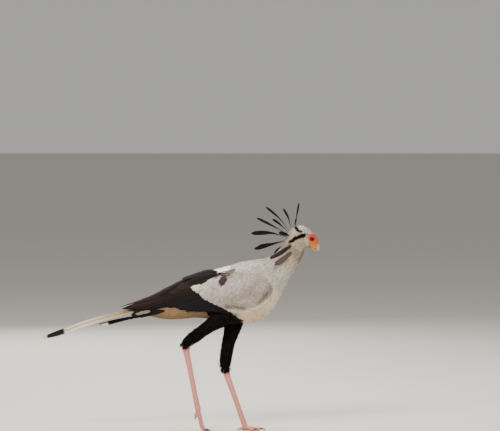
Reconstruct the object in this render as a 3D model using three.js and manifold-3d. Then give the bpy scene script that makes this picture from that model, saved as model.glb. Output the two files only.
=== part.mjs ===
// A secretary bird at life size, caught in mid stride with its wings folded.
// Millimetres. +X is the way it faces, +Y its left side, +Z up, and the floor is z = 0.
import * as THREE from 'three';
import { mergeVertices } from 'three/addons/utils/BufferGeometryUtils.js';
import Module from 'manifold-3d';

const wasm = await Module();
wasm.setup();

// Driving dimensions
const gap = 0.3; // left between two solids that touch on the real bird
const bladeThickness = 1.3; // a feather blade, shaft and vane together
const tarsusDepth = 20; // front to back, at the middle of the bare leg
const tarsusWidth = 15;
const toeRadius = 7.5;
const padSink = 2.3; // how far a toe pad flattens on the floor
const middleToe = 78; // toe lengths without their claws
const innerToe = 60;
const outerToe = 63;
const hindToe = 24;
const clawLength = 23;
const clawRadius = 4.4;
const rest = toeRadius - padSink; // height of a resting toe's middle line
const eyeRadius = 9.5;
const eyePlace = [600, 17.5, 886]; // the left eye; the right one mirrors it
const bodySides = 20; // facets round the body
const wingTipX = -280;

// Colours of the pieces
const colours = {
  grey: 0xb9b4b2,
  pale: 0xd9d3cc,
  black: 0x1d1a19,
  face: 0xd9652e,
  bill: 0x8e9aa3,
  eye: 0x2a1a10,
  leg: 0xc79a8c,
  claw: 0x3a3330,
};

// Body outline. Each row is a slice: a point on the back, a point on the belly, and the half width.
const bodySlices = [
  { back: [-145, 588], belly: [-163, 534], half: 20 },
  { back: [-76, 618], belly: [-99, 519], half: 35 },
  { back: [2, 655], belly: [-16, 515], half: 50 },
  { back: [85, 694], belly: [76, 524], half: 64 },
  { back: [163, 731], belly: [177, 508], half: 76 },
  { back: [237, 757], belly: [269, 494], half: 83 },
  { back: [306, 776], belly: [343, 506], half: 84 },
  { back: [356, 788], belly: [407, 543], half: 79 },
  { back: [393, 800], belly: [458, 623], half: 66 },
  { back: [421, 812], belly: [497, 692], half: 52 },
  { back: [442, 830], belly: [526, 744], half: 43 },
  { back: [460, 853], belly: [550, 790], half: 37.5 },
  { back: [474, 879], belly: [564, 820], half: 35 },
  { back: [485, 906], belly: [564, 836], half: 34 },
  { back: [504, 931], belly: [570, 844], half: 33.5 },
  { back: [529, 945], belly: [577, 846], half: 32.5 },
  { back: [557, 949], belly: [583, 845], half: 31 },
  { back: [582, 934], belly: [589, 844], half: 28.5 },
  { back: [603, 918], belly: [595, 843], half: 25 },
  { back: [619, 902], belly: [600, 841], half: 20 },
  { back: [627, 883], belly: [605, 838], half: 15 },
  { back: [631, 866], belly: [611, 835], half: 11.5 },
];

// How the body is parted, as places along the rows above, and how finely each part is faceted.
const bodyParts = {
  rump: { from: 0, to: 1.5, rings: 4 },
  trunk: { from: 1.5, to: 8.4, rings: 12 },
  neck_lower: { from: 8.4, to: 10.6, rings: 6 },
  neck_upper: { from: 10.6, to: 12.6, rings: 4 },
  head: { from: 12.6, to: 21, rings: 12 },
};

// The folded wings wrap the trunk like a shell with this outside.
const wingSlices = [
  { back: [wingTipX, 569], belly: [wingTipX, 557], half: 12 },
  { back: [-218, 594], belly: [-212, 548], half: 29 },
  { back: [-150, 619], belly: [-140, 541], half: 40 },
  { back: [-71, 660], belly: [-60, 530], half: 55 },
  { back: [7, 699], belly: [20, 520], half: 71 },
  { back: [90, 735], belly: [103, 510], half: 84 },
  { back: [172, 752], belly: [190, 503], half: 93 },
  { back: [265, 779], belly: [285, 497], half: 97 },
  { back: [343, 791], belly: [385, 527], half: 93 },
  { back: [383, 793], belly: [436, 596], half: 80 },
  { back: [406, 776], belly: [454, 668], half: 62 },
];

// Lower and front edge of the folded wing from the side, shoulder to tip.
const wingEdge = [
  [375, 815], [398, 740], [428, 700], [438, 662], [427, 622], [384, 574], [283, 538], [209, 549], [122, 553],
  [39, 555], [-53, 580], [-99, 569], [-191, 552], [-284, 556],
];

// Where the pale coverts end and the black flight feathers begin.
const covertEdge = [
  [-14, 760], [-4, 712], [44, 665], [80, 642], [108, 614], [145, 596], [186, 577], [232, 552], [262, 520],
];

const vec = (p) => new THREE.Vector3(p[0], p[1], p[2]);
const smoothLine = (points) => new THREE.CatmullRomCurve3(points.map(vec));

// Joins rings of points into one closed solid with a flat lid at both ends.
function skinRings(rings) {
  const sides = rings[0].length;
  const points = rings.flat();
  const faces = [];
  for (let i = 0; i + 1 < rings.length; i += 1) {
    for (let j = 0; j < sides; j += 1) {
      const a = i * sides + j;
      const b = i * sides + ((j + 1) % sides);
      faces.push(a, b, a + sides, b, b + sides, a + sides);
    }
  }
  const middle = (ring) => ring.reduce((sum, p) => sum.add(p), new THREE.Vector3()).divideScalar(sides);
  const first = points.push(middle(rings[0])) - 1;
  const last = points.push(middle(rings[rings.length - 1])) - 1;
  const lastRing = (rings.length - 1) * sides;
  for (let j = 0; j < sides; j += 1) {
    const k = (j + 1) % sides;
    faces.push(first, k, j, last, lastRing + j, lastRing + k);
  }
  if (signedVolume(points, faces) < 0) {
    faces.reverse();
  }
  const geometry = new THREE.BufferGeometry().setFromPoints(points);
  return geometry.setIndex(faces);
}

function signedVolume(points, faces) {
  let sum = 0;
  for (let i = 0; i < faces.length; i += 3) {
    const [a, b, c] = [points[faces[i]], points[faces[i + 1]], points[faces[i + 2]]];
    sum += a.dot(b.clone().cross(c));
  }
  return sum / 6;
}

// A loft through slices, from one place along them to another. egg > 0 makes the back half wider.
function loft(slices, { from = 0, to = slices.length - 1, rings, sides = bodySides, egg = 0, grow = 0 }) {
  const backs = smoothLine(slices.map(({ back, half }) => [back[0], half, back[1]]));
  const bellies = smoothLine(slices.map(({ belly }) => [belly[0], 0, belly[1]]));
  const spans = slices.length - 1;
  const result = [];
  for (let i = 0; i <= rings; i += 1) {
    const u = (from + ((to - from) * i) / rings) / spans;
    const back = backs.getPoint(u);
    const belly = bellies.getPoint(u);
    const half = back.y + grow;
    back.y = 0;
    const centre = back.clone().add(belly).multiplyScalar(0.5);
    const up = back.clone().sub(centre);
    const height = up.length() + grow;
    up.normalize();
    const along = new THREE.Vector3(0, 1, 0).cross(up);
    const inset = gap / 2 - grow;
    if (i === 0) centre.addScaledVector(along, inset);
    if (i === rings) centre.addScaledVector(along, -inset);
    const ring = [];
    for (let j = 0; j < sides; j += 1) {
      const angle = (j / sides) * 2 * Math.PI;
      const point = centre.clone().addScaledVector(up, height * Math.cos(angle));
      point.y = half * Math.sin(angle) * (1 + egg * Math.cos(angle));
      ring.push(point);
    }
    result.push(ring);
  }
  return skinRings(result);
}

// A tapering solid along a smooth line. size(t) gives half its depth and half its width there.
function sweep(points, size, { steps = 10, sides = 8, across = [0, 1, 0], grow = 0 } = {}) {
  const curve = smoothLine(points);
  const rings = [];
  for (let i = 0; i <= steps; i += 1) {
    const t = i / steps;
    const centre = curve.getPointAt(t);
    const along = curve.getTangentAt(t);
    const side = vec(across);
    side.addScaledVector(along, -side.dot(along)).normalize();
    const up = side.clone().cross(along);
    if (i === 0) centre.addScaledVector(along, -grow);
    if (i === steps) centre.addScaledVector(along, grow);
    const [depth, width] = size(t);
    const ring = [];
    for (let j = 0; j < sides; j += 1) {
      const angle = ((j + 0.5) / sides) * 2 * Math.PI;
      const point = centre.clone().addScaledVector(up, (depth + grow) * Math.cos(angle));
      ring.push(point.addScaledVector(side, (width + grow) * Math.sin(angle)));
    }
    rings.push(ring);
  }
  return skinRings(rings);
}

// A value that runs smoothly through evenly spaced stops as t goes from 0 to 1.
function ramp(stops) {
  return (t) => {
    const place = Math.min(Math.max(t, 0), 1) * (stops.length - 1);
    const i = Math.min(Math.floor(place), stops.length - 2);
    return THREE.MathUtils.lerp(stops[i], stops[i + 1], THREE.MathUtils.smoothstep(place - i, 0, 1));
  };
}

// A slab across the whole bird whose side view is the given outline.
function slab(outline) {
  const halfSpan = 200;
  const shape = new THREE.Shape(outline.map(([x, z]) => new THREE.Vector2(x, z)));
  const geometry = new THREE.ExtrudeGeometry(shape, { depth: 2 * halfSpan, bevelEnabled: false });
  return geometry.translate(0, 0, -halfSpan).rotateX(Math.PI / 2);
}

function block(x0, x1, y0, y1, z0, z1) {
  const geometry = new THREE.BoxGeometry(x1 - x0, y1 - y0, z1 - z0);
  return geometry.translate((x0 + x1) / 2, (y0 + y1) / 2, (z0 + z1) / 2);
}

// Cutting and joining
function solid(geometry) {
  const bare = geometry.clone();
  bare.deleteAttribute('normal');
  bare.deleteAttribute('uv');
  const merged = mergeVertices(bare, 1e-4);
  const vertProperties = new Float32Array(merged.attributes.position.array);
  const triVerts = new Uint32Array(merged.index.array);
  return new wasm.Manifold(new wasm.Mesh({ numProp: 3, vertProperties, triVerts }));
}

function geometryOf(manifold) {
  const mesh = largest(manifold).getMesh();
  const geometry = new THREE.BufferGeometry();
  geometry.setAttribute('position', new THREE.BufferAttribute(mesh.vertProperties, 3));
  geometry.setIndex(new THREE.BufferAttribute(mesh.triVerts, 1));
  return geometry;
}

// Cutting thin shells can leave loose crumbs, so only the main body is kept.
function largest(manifold) {
  return manifold.decompose().sort((a, b) => b.volume() - a.volume())[0];
}

const cut = (body, ...tools) => tools.reduce((rest, tool) => rest.subtract(tool), body);
const join = (...bodies) => bodies.reduce((whole, next) => whole.add(next));

const bird = new THREE.Group();

function addPiece(name, geometry, colour, roughness = 0.8) {
  const shaded = geometry.index ? geometry.toNonIndexed() : geometry;
  shaded.computeVertexNormals();
  const material = new THREE.MeshStandardMaterial({ color: colour, roughness, metalness: 0 });
  const piece = new THREE.Mesh(shaded, material);
  piece.name = name;
  bird.add(piece);
}

const belowFloor = solid(block(-900, 900, -400, 400, -200, 0));

// Head, neck and trunk
const bodyEgg = 0.06;

function bodyPart(name, grow = 0) {
  const { from, to, rings } = bodyParts[name];
  return solid(loft(bodySlices, { from, to, rings, egg: bodyEgg, grow }));
}

function makeEye(side, grow) {
  const geometry = new THREE.SphereGeometry(eyeRadius + grow, 10, 7).rotateX(Math.PI / 2);
  return solid(geometry.translate(eyePlace[0], side * eyePlace[1], eyePlace[2]));
}

function addHead(billSolids) {
  const eyes = [makeEye(1, gap), makeEye(-1, gap)];
  addPiece('head', geometryOf(cut(bodyPart('head'), ...eyes, ...billSolids)), colours.face);
  addPiece('eye_left', geometryOf(makeEye(1, 0)), colours.eye, 0.1);
  addPiece('eye_right', geometryOf(makeEye(-1, 0)), colours.eye, 0.1);
}

// Each bill half follows rows of a ridge point, an edge point and a half width.
const upperBillSlices = [
  { back: [627, 871], belly: [612, 843], half: 11 },
  { back: [631, 865], belly: [617, 841], half: 10.5 },
  { back: [636, 853], belly: [621, 837], half: 8.6 },
  { back: [636.5, 841], belly: [625, 832], half: 6.4 },
  { back: [633.5, 830], belly: [627, 827.5], half: 3.6 },
  { back: [628.5, 819], belly: [626.5, 819.5], half: 1 },
];
const lowerBillSlices = [
  { back: [610, 842.5], belly: [606, 836.5], half: 9.6 },
  { back: [615.5, 840.5], belly: [611, 834], half: 9 },
  { back: [620, 835.5], belly: [616.5, 830.5], half: 7 },
  { back: [623.4, 831], belly: [621, 827.6], half: 3.6 },
];

function billHalf(slices, grow) {
  return solid(loft(slices, { rings: 6, sides: 12, grow }));
}

// Crest. Each plume springs from the nape, bends through a middle point and ends in a rounded blade.
// The last two numbers are how far it stands out to its left at the root and at the tip.
const plumes = [
  { line: [[524, 936], [531, 996], [541, 1051]], width: 9, lean: [7, 12] },
  { line: [[519, 936], [524, 960], [527, 980]], width: 8, lean: [-7, -10] },
  { line: [[506, 930], [490, 987], [469, 1026]], width: 12, lean: [-9, -22] },
  { line: [[497, 920], [451, 980], [389, 1033]], width: 12, lean: [5, 16] },
  { line: [[490, 918], [452, 956], [419, 980]], width: 11, lean: [-17, -38] },
  { line: [[488, 908], [419, 948], [347, 984]], width: 14, lean: [-6, -20] },
  { line: [[486, 909], [424, 942], [360, 974]], width: 14, lean: [16, 40] },
  { line: [[490, 902], [468, 909], [442, 917]], width: 15, lean: [-23, -40] },
  { line: [[481, 896], [407, 916], [322, 913]], width: 18, lean: [-10, -18] },
  { line: [[481, 895], [412, 912], [338, 911]], width: 18, lean: [9, 24] },
  { line: [[479, 879], [412, 860], [336, 842]], width: 18, lean: [-12, -24] },
  { line: [[479, 879], [416, 863], [352, 848]], width: 18, lean: [10, 28] },
  { line: [[478, 864], [446, 840], [428, 815]], width: 13, lean: [0, 2] },
  { line: [[484, 858], [452, 826], [404, 801]], width: 14, lean: [-22, -36] },
  { line: [[484, 858], [456, 830], [413, 807]], width: 14, lean: [21, 38] },
  { line: [[494, 836], [466, 803], [428, 768]], width: 14, lean: [-32, -52] },
];

function makePlume({ line, width, lean }) {
  const [root, middle, tip] = line;
  const [near, far] = lean;
  const points = [[root[0], near, root[1]], [middle[0], (near + far) / 2, middle[1]], [tip[0], far, tip[1]]];
  const blade = ramp([0.14, 0.2, 0.3, 0.5, 0.86, 1, 0.3]);
  const size = (t) => [(width / 2) * blade(t), bladeThickness / 2];
  return solid(sweep(points, size, { steps: 7, sides: 6, across: [0.12 * Math.sign(far), 1, 0.2] }));
}

function addCrest(flesh) {
  plumes.forEach((plume, i) => {
    const name = `crest_plume_${String(i + 1).padStart(2, '0')}`;
    addPiece(name, geometryOf(cut(makePlume(plume), ...flesh)), i % 2 ? colours.black : colours.grey);
  });
}

// Legs. The left foot carries the bird, the right foot is about to leave the floor behind it.
const legs = {
  left: {
    thigh: [[251, 38, 550], [236, 37, 476], [214, 29, 398], [203, 22, 334], [202, 18, 284]],
    thighSize: [44, 36, 25.5, 23, 14],
    shank: [[202, 18, 283], [212, 18, 246], [246, 18, 150], [277, 18, 60], [291, 18, 20]],
    knuckle: [294, 18, 13],
  },
  right: {
    thigh: [[223, -38, 545], [154, -38, 504], [85, -32, 455], [32, -26, 416], [16, -24, 401]],
    thighSize: [42, 32, 24, 23, 15],
    shank: [[15, -24, 401], [26, -24, 350], [46, -22, 250], [63, -21, 160], [77, -20, 94]],
    knuckle: [79, -20, 86],
  },
};

const makeThigh = (leg, grow) => {
  const size = ramp(leg.thighSize);
  return solid(sweep(leg.thigh, (t) => [size(t), size(t) * 0.84], { steps: 7, sides: 10, grow }));
};

const makeShank = (leg, grow) => {
  const swell = ramp([1.5, 1.06, 0.98, 0.94, 0.94, 0.96, 1.0, 1.12]);
  const size = (t) => [(tarsusDepth / 2) * swell(t), (tarsusWidth / 2) * swell(t)];
  return solid(sweep(leg.shank, size, { steps: 8, sides: 8, grow }));
};

// A toe is plump at its pads. It starts in the knuckle and its last pad lies on the floor.
function makeToe(points, grow = 0) {
  const size = (t) => {
    const radius = toeRadius * (1.05 - 0.2 * t + 0.05 * Math.cos(t * 6 * Math.PI));
    return [radius, radius];
  };
  return solid(sweep(points, size, { steps: 5, sides: 6, grow }));
}

// A claw goes on from the end of its toe and curves down to a blunt point.
function makeClaw(points, grow = 0) {
  const size = (t) => [clawRadius * (1.05 - 0.78 * t), clawRadius * (0.8 - 0.56 * t)];
  return solid(sweep(points, size, { steps: 4, sides: 6, grow }));
}

// Gives points at a distance and height along one heading from a knuckle.
function pointAlong(x, y, heading) {
  return (distance, height) => [x + distance * Math.cos(heading), y + distance * Math.sin(heading), height];
}

// A claw's middle line, from inside the last toe pad to its tip on the floor.
function clawLine(at, start) {
  const ahead = (share) => start + share * clawLength;
  return [at(start - 4, rest + 1.5), at(ahead(0.3), rest + 2), at(ahead(0.7), rest - 1), at(ahead(1), 0.7)];
}

// Points along a toe that lies flat on the floor, heading away from the knuckle.
function flatToe(knuckle, heading, length) {
  const [x, y, z] = knuckle;
  const at = pointAlong(x, y, heading);
  const bare = length - toeRadius;
  const toe = [[x, y, z], at(0.3 * bare, rest + 3), at(0.65 * bare, rest + 0.8), at(bare, rest)];
  return { toe, claw: clawLine(at, bare) };
}

// Points along a toe of the pushing foot: down from the raised knuckle, then forward on its last pad.
function pushingToe(knuckle, heading, length) {
  const [x, y, z] = knuckle;
  const at = pointAlong(x, y, heading);
  const reach = 0.42 * length;
  const drop = [at(0.24 * reach, 0.64 * z), at(0.46 * reach, 0.3 * z)];
  const pad = [at(0.74 * reach, rest + 1.4), at(reach, rest - 0.6)];
  return { toe: [[x, y, z], ...drop, ...pad], claw: clawLine(at, reach) };
}

// The raised hind toe hangs down behind the knuckle.
function hangingToe(knuckle) {
  const [x, y, z] = knuckle;
  return {
    toe: [[x, y, z], [x - 9, y, z - 7], [x - 15, y, z - 17]],
    claw: [[x - 13.5, y, z - 14], [x - 17, y, z - 24], [x - 15.5, y, z - 34]],
  };
}

function addLeg(side, trunk) {
  const leg = legs[side];
  const shank = makeShank(leg, 0);
  const shankRoom = makeShank(leg, gap);
  addPiece(`thigh_${side}`, geometryOf(cut(makeThigh(leg, 0), ...trunk, shankRoom)), colours.black);
  const out = side === 'left' ? 1 : -1;
  const flat = side === 'left';
  const lay = flat ? flatToe : pushingToe;
  const spread = flat ? 1 : 0.62;
  const toes = {
    inner: lay(leg.knuckle, -out * spread * 0.6, innerToe * (flat ? 1 : 1.1)),
    middle: lay(leg.knuckle, out * 0.03, middleToe),
    outer: lay(leg.knuckle, out * spread * 0.62, outerToe * (flat ? 1 : 1.1)),
    hind: flat ? flatToe(leg.knuckle, Math.PI - 0.25, hindToe) : hangingToe(leg.knuckle),
  };
  const names = Object.keys(toes);
  const clawRooms = names.map((name) => makeClaw(toes[name].claw, gap));
  const foot = join(...names.map((name) => makeToe(toes[name].toe)));
  addPiece(`shank_${side}`, geometryOf(cut(shank, belowFloor)), colours.leg, 0.6);
  addPiece(`foot_${side}`, geometryOf(cut(foot, shankRoom, belowFloor, ...clawRooms)), colours.leg, 0.6);
  for (const name of names) {
    const claw = cut(makeClaw(toes[name].claw), belowFloor);
    addPiece(`claw_${side}_${name}`, geometryOf(claw), colours.claw, 0.4);
  }
}

// Wings
const backSide = 900;
const wingOutside = [...wingEdge, [wingTipX - 4, backSide], [375, backSide]];
const flightCorners = [[262, 400], [-400, 400], [-400, 760]];
const flightOutside = (shift) => [...covertEdge, ...flightCorners].map(([x, z]) => [x + shift, z + shift]);

function addWings(inner) {
  const shell = solid(loft(wingSlices, { rings: 14, sides: 20 }));
  const wings = cut(shell.intersect(solid(slab(wingOutside))), ...inner);
  const flight = solid(slab(flightOutside(0)));
  const flightRoom = solid(slab(flightOutside(gap)));
  const halves = { left: [-400, gap / 2], right: [-gap / 2, 400] };
  for (const [side, [from, to]] of Object.entries(halves)) {
    const wing = cut(wings, solid(block(-900, 900, from, to, 0, 1500)));
    addPiece(`wing_${side}_coverts`, geometryOf(cut(wing, flightRoom)), colours.grey);
    addPiece(`wing_${side}_flight`, geometryOf(wing.intersect(flight)), colours.black);
  }
}

// Tail. Two long middle feathers lie over the fan of short ones and lean out like a roof.
const streamerLine = [
  [-168, 551], [-205, 547], [-283, 545], [-375, 527], [-467, 500], [-540, 473], [-590, 455], [-632, 438],
];
const fanLine = [[-166, 541], [-230, 527], [-300, 511], [-374, 494]];

function makeStreamer(out, grow = 0) {
  const wide = ramp([5, 9, 17, 21, 22, 21, 20, 18, 7]);
  const lean = 0.55;
  const size = (t) => [bladeThickness * (1.7 - t), wide(t)];
  const across = [0, Math.cos(lean), -out * Math.sin(lean)];
  const shift = (t) => wide(t) * Math.cos(lean) + 0.6;
  const curve = smoothLine(streamerLine.map(([x, z]) => [x, 0, z]));
  const points = [];
  const count = 12;
  for (let i = 0; i <= count; i += 1) {
    const { x, z } = curve.getPointAt(i / count);
    points.push([x, out * shift(i / count), z - wide(i / count) * Math.sin(lean)]);
  }
  return solid(sweep(points, size, { steps: 12, sides: 6, across, grow }));
}

function addTail(rump) {
  const fanWide = ramp([17, 30, 38, 40, 24]);
  const fanDeep = ramp([7, 8, 7, 5, 1.8]);
  const fanPoints = fanLine.map(([x, z]) => [x, 0, z]);
  const fan = solid(sweep(fanPoints, (t) => [fanDeep(t), fanWide(t)], { steps: 8, sides: 12 }));
  const streamerRooms = [makeStreamer(1, gap), makeStreamer(-1, gap)];
  addPiece('tail_fan', geometryOf(cut(fan, ...rump, ...streamerRooms)), colours.black);
  addPiece('tail_streamer_left', geometryOf(cut(makeStreamer(1), ...rump)), colours.pale);
  addPiece('tail_streamer_right', geometryOf(cut(makeStreamer(-1), ...rump)), colours.pale);
}

// The whole bird
addPiece('rump', geometryOf(bodyPart('rump')), colours.pale);
addPiece('trunk', geometryOf(bodyPart('trunk')), colours.pale);
addPiece('neck_lower', geometryOf(bodyPart('neck_lower')), colours.grey);
addPiece('neck_upper', geometryOf(bodyPart('neck_upper')), colours.grey);
const bills = { bill_upper: upperBillSlices, bill_lower: lowerBillSlices };
addHead(Object.values(bills).map((slices) => billHalf(slices, gap)));
for (const [name, slices] of Object.entries(bills)) {
  addPiece(name, geometryOf(billHalf(slices, 0)), colours.bill, 0.35);
}
const room = Object.fromEntries(Object.keys(bodyParts).map((name) => [name, bodyPart(name, gap)]));
const thighRooms = Object.values(legs).map((leg) => makeThigh(leg, gap));
addCrest([room.head, room.neck_upper, room.neck_lower]);
addLeg('left', [room.rump, room.trunk]);
addLeg('right', [room.rump, room.trunk]);
addTail([room.rump]);
addWings([room.rump, room.trunk, room.neck_lower, ...thighRooms]);

// The origin is on the floor under the middle of the bird's box.
const box = new THREE.Box3().setFromObject(bird);
bird.position.set(-(box.min.x + box.max.x) / 2, -(box.min.y + box.max.y) / 2, -box.min.z);
const model = new THREE.Group();
model.add(bird);

export default model;
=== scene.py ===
import math

import bmesh
import bpy
import numpy as np
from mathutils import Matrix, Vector
from mathutils.bvhtree import BVHTree
from mathutils.kdtree import KDTree


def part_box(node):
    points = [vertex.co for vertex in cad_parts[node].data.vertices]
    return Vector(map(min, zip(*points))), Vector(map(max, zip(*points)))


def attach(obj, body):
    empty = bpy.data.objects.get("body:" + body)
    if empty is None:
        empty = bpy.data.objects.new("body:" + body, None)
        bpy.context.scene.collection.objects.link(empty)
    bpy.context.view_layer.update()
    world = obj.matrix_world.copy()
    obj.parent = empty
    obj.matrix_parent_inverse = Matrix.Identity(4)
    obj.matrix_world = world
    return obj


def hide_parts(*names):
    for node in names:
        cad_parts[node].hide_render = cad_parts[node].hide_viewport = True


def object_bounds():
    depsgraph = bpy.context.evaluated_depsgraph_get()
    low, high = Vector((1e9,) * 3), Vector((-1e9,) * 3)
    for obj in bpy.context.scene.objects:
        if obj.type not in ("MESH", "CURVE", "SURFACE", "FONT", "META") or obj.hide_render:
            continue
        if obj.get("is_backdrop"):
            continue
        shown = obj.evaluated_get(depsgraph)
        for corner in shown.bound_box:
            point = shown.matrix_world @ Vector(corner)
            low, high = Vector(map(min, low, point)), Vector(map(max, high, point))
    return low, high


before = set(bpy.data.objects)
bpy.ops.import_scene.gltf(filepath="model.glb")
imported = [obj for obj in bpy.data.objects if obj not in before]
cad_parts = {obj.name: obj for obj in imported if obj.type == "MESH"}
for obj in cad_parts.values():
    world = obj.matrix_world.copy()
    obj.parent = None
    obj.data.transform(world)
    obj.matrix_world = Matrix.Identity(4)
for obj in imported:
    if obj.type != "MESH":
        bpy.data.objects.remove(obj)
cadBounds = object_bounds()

# A secretary bird in mid stride. Metres, it faces +X, its left side is +Y, the floor is z = 0.

# Camera, floor and light

shot = {
    "aim": (0.313, 0.0, 0.994),  # middle of the picture, in the plane of the bird
    "distance": 14.0,
    "elevation": 3.0,            # degrees, a low seat looking across level ground
    "pictureWidth": 2.3,        # metres across the picture at the bird
}


def placeCamera(s):
    data = bpy.data.cameras.new("shotCamera")
    data.sensor_width = 36.0
    data.lens = data.sensor_width * s["distance"] / s["pictureWidth"]
    data.clip_end = 200.0
    camera = bpy.data.objects.new("shotCamera", data)
    tilt = math.radians(s["elevation"])
    x, y, z = s["aim"]
    camera.location = (x, y - s["distance"] * math.cos(tilt), z + s["distance"] * math.sin(tilt))
    camera.rotation_euler = (math.pi / 2 - tilt, 0.0, 0.0)
    bpy.context.scene.collection.objects.link(camera)
    bpy.context.scene.camera = camera


def placeFloor():
    bpy.ops.mesh.primitive_plane_add(size=80.0, location=(0, 0, -0.0005))
    floor = bpy.context.object
    floor.name = "studioFloor"
    material = bpy.data.materials.new("studioFloor")
    material.use_nodes = True
    shader = material.node_tree.nodes["Principled BSDF"]
    shader.inputs["Base Color"].default_value = (0.66, 0.64, 0.6, 1)
    shader.inputs["Roughness"].default_value = 0.9
    floor.data.materials.append(material)
    floor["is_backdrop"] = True


lamps = [  # name, place, size, watts, colour
    ("keyLamp", (-2.2, -4.4, 4.6), 2.2, 330.0, (1.0, 0.94, 0.86)),
    ("fillLamp", (4.0, -4.2, 2.2), 3.0, 90.0, (1.0, 0.97, 0.93)),
    ("topLamp", (0.4, 1.2, 4.6), 3.0, 170.0, (1.0, 0.97, 0.92)),
    ("backLamp", (-1.0, 4.6, 2.4), 3.0, 80.0, (0.98, 0.98, 1.0)),
]


def placeLamps():
    for name, place, size, watts, colour in lamps:
        data = bpy.data.lights.new(name, "AREA")
        data.size = size
        data.energy = watts
        data.color = colour
        lamp = bpy.data.objects.new(name, data)
        lamp.location = place
        aim = Vector((0.1, 0.0, 0.55)) - Vector(place)
        lamp.rotation_euler = aim.to_track_quat("-Z", "Y").to_euler()
        bpy.context.scene.collection.objects.link(lamp)
    world = bpy.data.worlds.new("paleRoom")
    world.use_nodes = True
    sky = world.node_tree.nodes["Background"]
    sky.inputs["Color"].default_value = (0.88, 0.87, 0.85, 1)
    sky.inputs["Strength"].default_value = 0.42
    bpy.context.scene.world = world


placeCamera(shot)
placeFloor()
placeLamps()
bpy.context.scene.view_settings.look = "AgX - Medium High Contrast"
print("camera, floor and lamps placed")

# Small tools

rng = np.random.default_rng(21)


def unit(v):
    return v / np.maximum(np.linalg.norm(v, axis=-1, keepdims=True), 1e-9)


def smoothStep(x, low, high):
    t = np.clip((x - low) / (high - low), 0.0, 1.0)
    return t * t * (3.0 - 2.0 * t)


def mixed(a, b, t):
    t = np.asarray(t)[..., None]
    return np.asarray(a) * (1.0 - t) + np.asarray(b) * t


def finishMesh(name, points, quads, tris, material):
    mesh = bpy.data.meshes.new(name)
    mesh.vertices.add(len(points))
    mesh.vertices.foreach_set("co", np.ascontiguousarray(points, dtype=np.float32).ravel())
    corners = np.concatenate([quads.ravel(), tris.ravel()]).astype(np.int32)
    mesh.loops.add(len(corners))
    mesh.loops.foreach_set("vertex_index", corners)
    starts = np.concatenate([np.arange(len(quads)) * 4, len(quads) * 4 + np.arange(len(tris)) * 3])
    mesh.polygons.add(len(starts))
    mesh.polygons.foreach_set("loop_start", starts.astype(np.int32))
    mesh.update(calc_edges=True)
    mesh.validate()
    mesh.shade_smooth()
    mesh.materials.append(material)
    return linked(name, mesh)


def paint(mesh, colours):
    attribute = mesh.color_attributes.new("plumage", "FLOAT_COLOR", "POINT")
    data = np.ones((len(mesh.vertices), 4), dtype=np.float32)
    data[:, :3] = colours
    attribute.data.foreach_set("color", data.ravel())


def addUv(mesh, name, perCorner):
    layer = mesh.uv_layers.new(name=name)
    layer.uv.foreach_set("vector", np.ascontiguousarray(perCorner, dtype=np.float32).ravel())


def owned(piece, slotName, *nodes):
    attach(piece, "root")
    if nodes:
        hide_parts(*nodes)
    return piece


def linked(name, mesh):
    piece = bpy.data.objects.new(name, mesh)
    bpy.context.scene.collection.objects.link(piece)
    return piece


# Reads one property of all the points, edges or triangles of a mesh
def readAll(items, name, width, kind=np.float32):
    data = np.empty(len(items) * width, dtype=kind)
    items.foreach_get(name, data)
    return data.reshape(-1, width)


def meshPoints(mesh):
    return readAll(mesh.vertices, "co", 3).astype(float)


def meshNormals(mesh):
    return readAll(mesh.vertices, "normal", 3).astype(float)


def meshEdges(mesh):
    return readAll(mesh.edges, "vertices", 2, np.int32)


def setPoints(mesh, points):
    mesh.vertices.foreach_set("co", points.astype(np.float32).ravel())
    mesh.update()


# Evens out rows of values in place, both ends held
def eased(rows, rounds, asWays=False):
    for _ in range(rounds):
        middle = (rows[:, :-2] + 2 * rows[:, 1:-1] + rows[:, 2:]) / 4
        rows[:, 1:-1] = unit(middle) if asWays else middle
    return rows


# Distance from side view places to a short line, and the share of the line there
def fromStretch(side, start, end):
    a = np.array(start)
    way = np.array(end) - a
    t = np.clip(((side - a) @ way) / max(way @ way, 1e-9), 0, 1)
    return np.linalg.norm(side - (a + t[:, None] * way), axis=1), t


def lineSteps(line):
    return np.linalg.norm(np.diff(line, axis=0), axis=1)


sides = {"left": 1, "right": -1}


# Smooth curve through a few points, with as many rows as wanted
def curveThrough(points, rows):
    points = np.asarray(points, dtype=float)
    steps = lineSteps(points)
    t = np.concatenate([[0.0], np.cumsum(steps)]) / steps.sum()
    padded = np.vstack([2 * points[0] - points[1], points, 2 * points[-1] - points[-2]])
    times = np.concatenate([[-t[1]], t, [2 - t[-2]]])
    u = np.linspace(0, 1, rows)
    i = np.clip(np.searchsorted(t, u, side="right") - 1, 0, len(t) - 2)
    p0, p1, p2, p3 = (padded[i + k] for k in range(4))
    t0, t1, t2, t3 = (times[i + k][:, None] for k in range(4))
    x = (u[:, None] - t1) / (t2 - t1)
    m1 = (t2 - t1) * (p2 - p0) / (t2 - t0)
    m2 = (t2 - t1) * (p3 - p1) / (t3 - t1)
    return ((2 * x ** 3 - 3 * x ** 2 + 1) * p1 + (x ** 3 - 2 * x ** 2 + x) * m1
            + (-2 * x ** 3 + 3 * x ** 2) * p2 + (x ** 3 - x ** 2) * m2)


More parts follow.
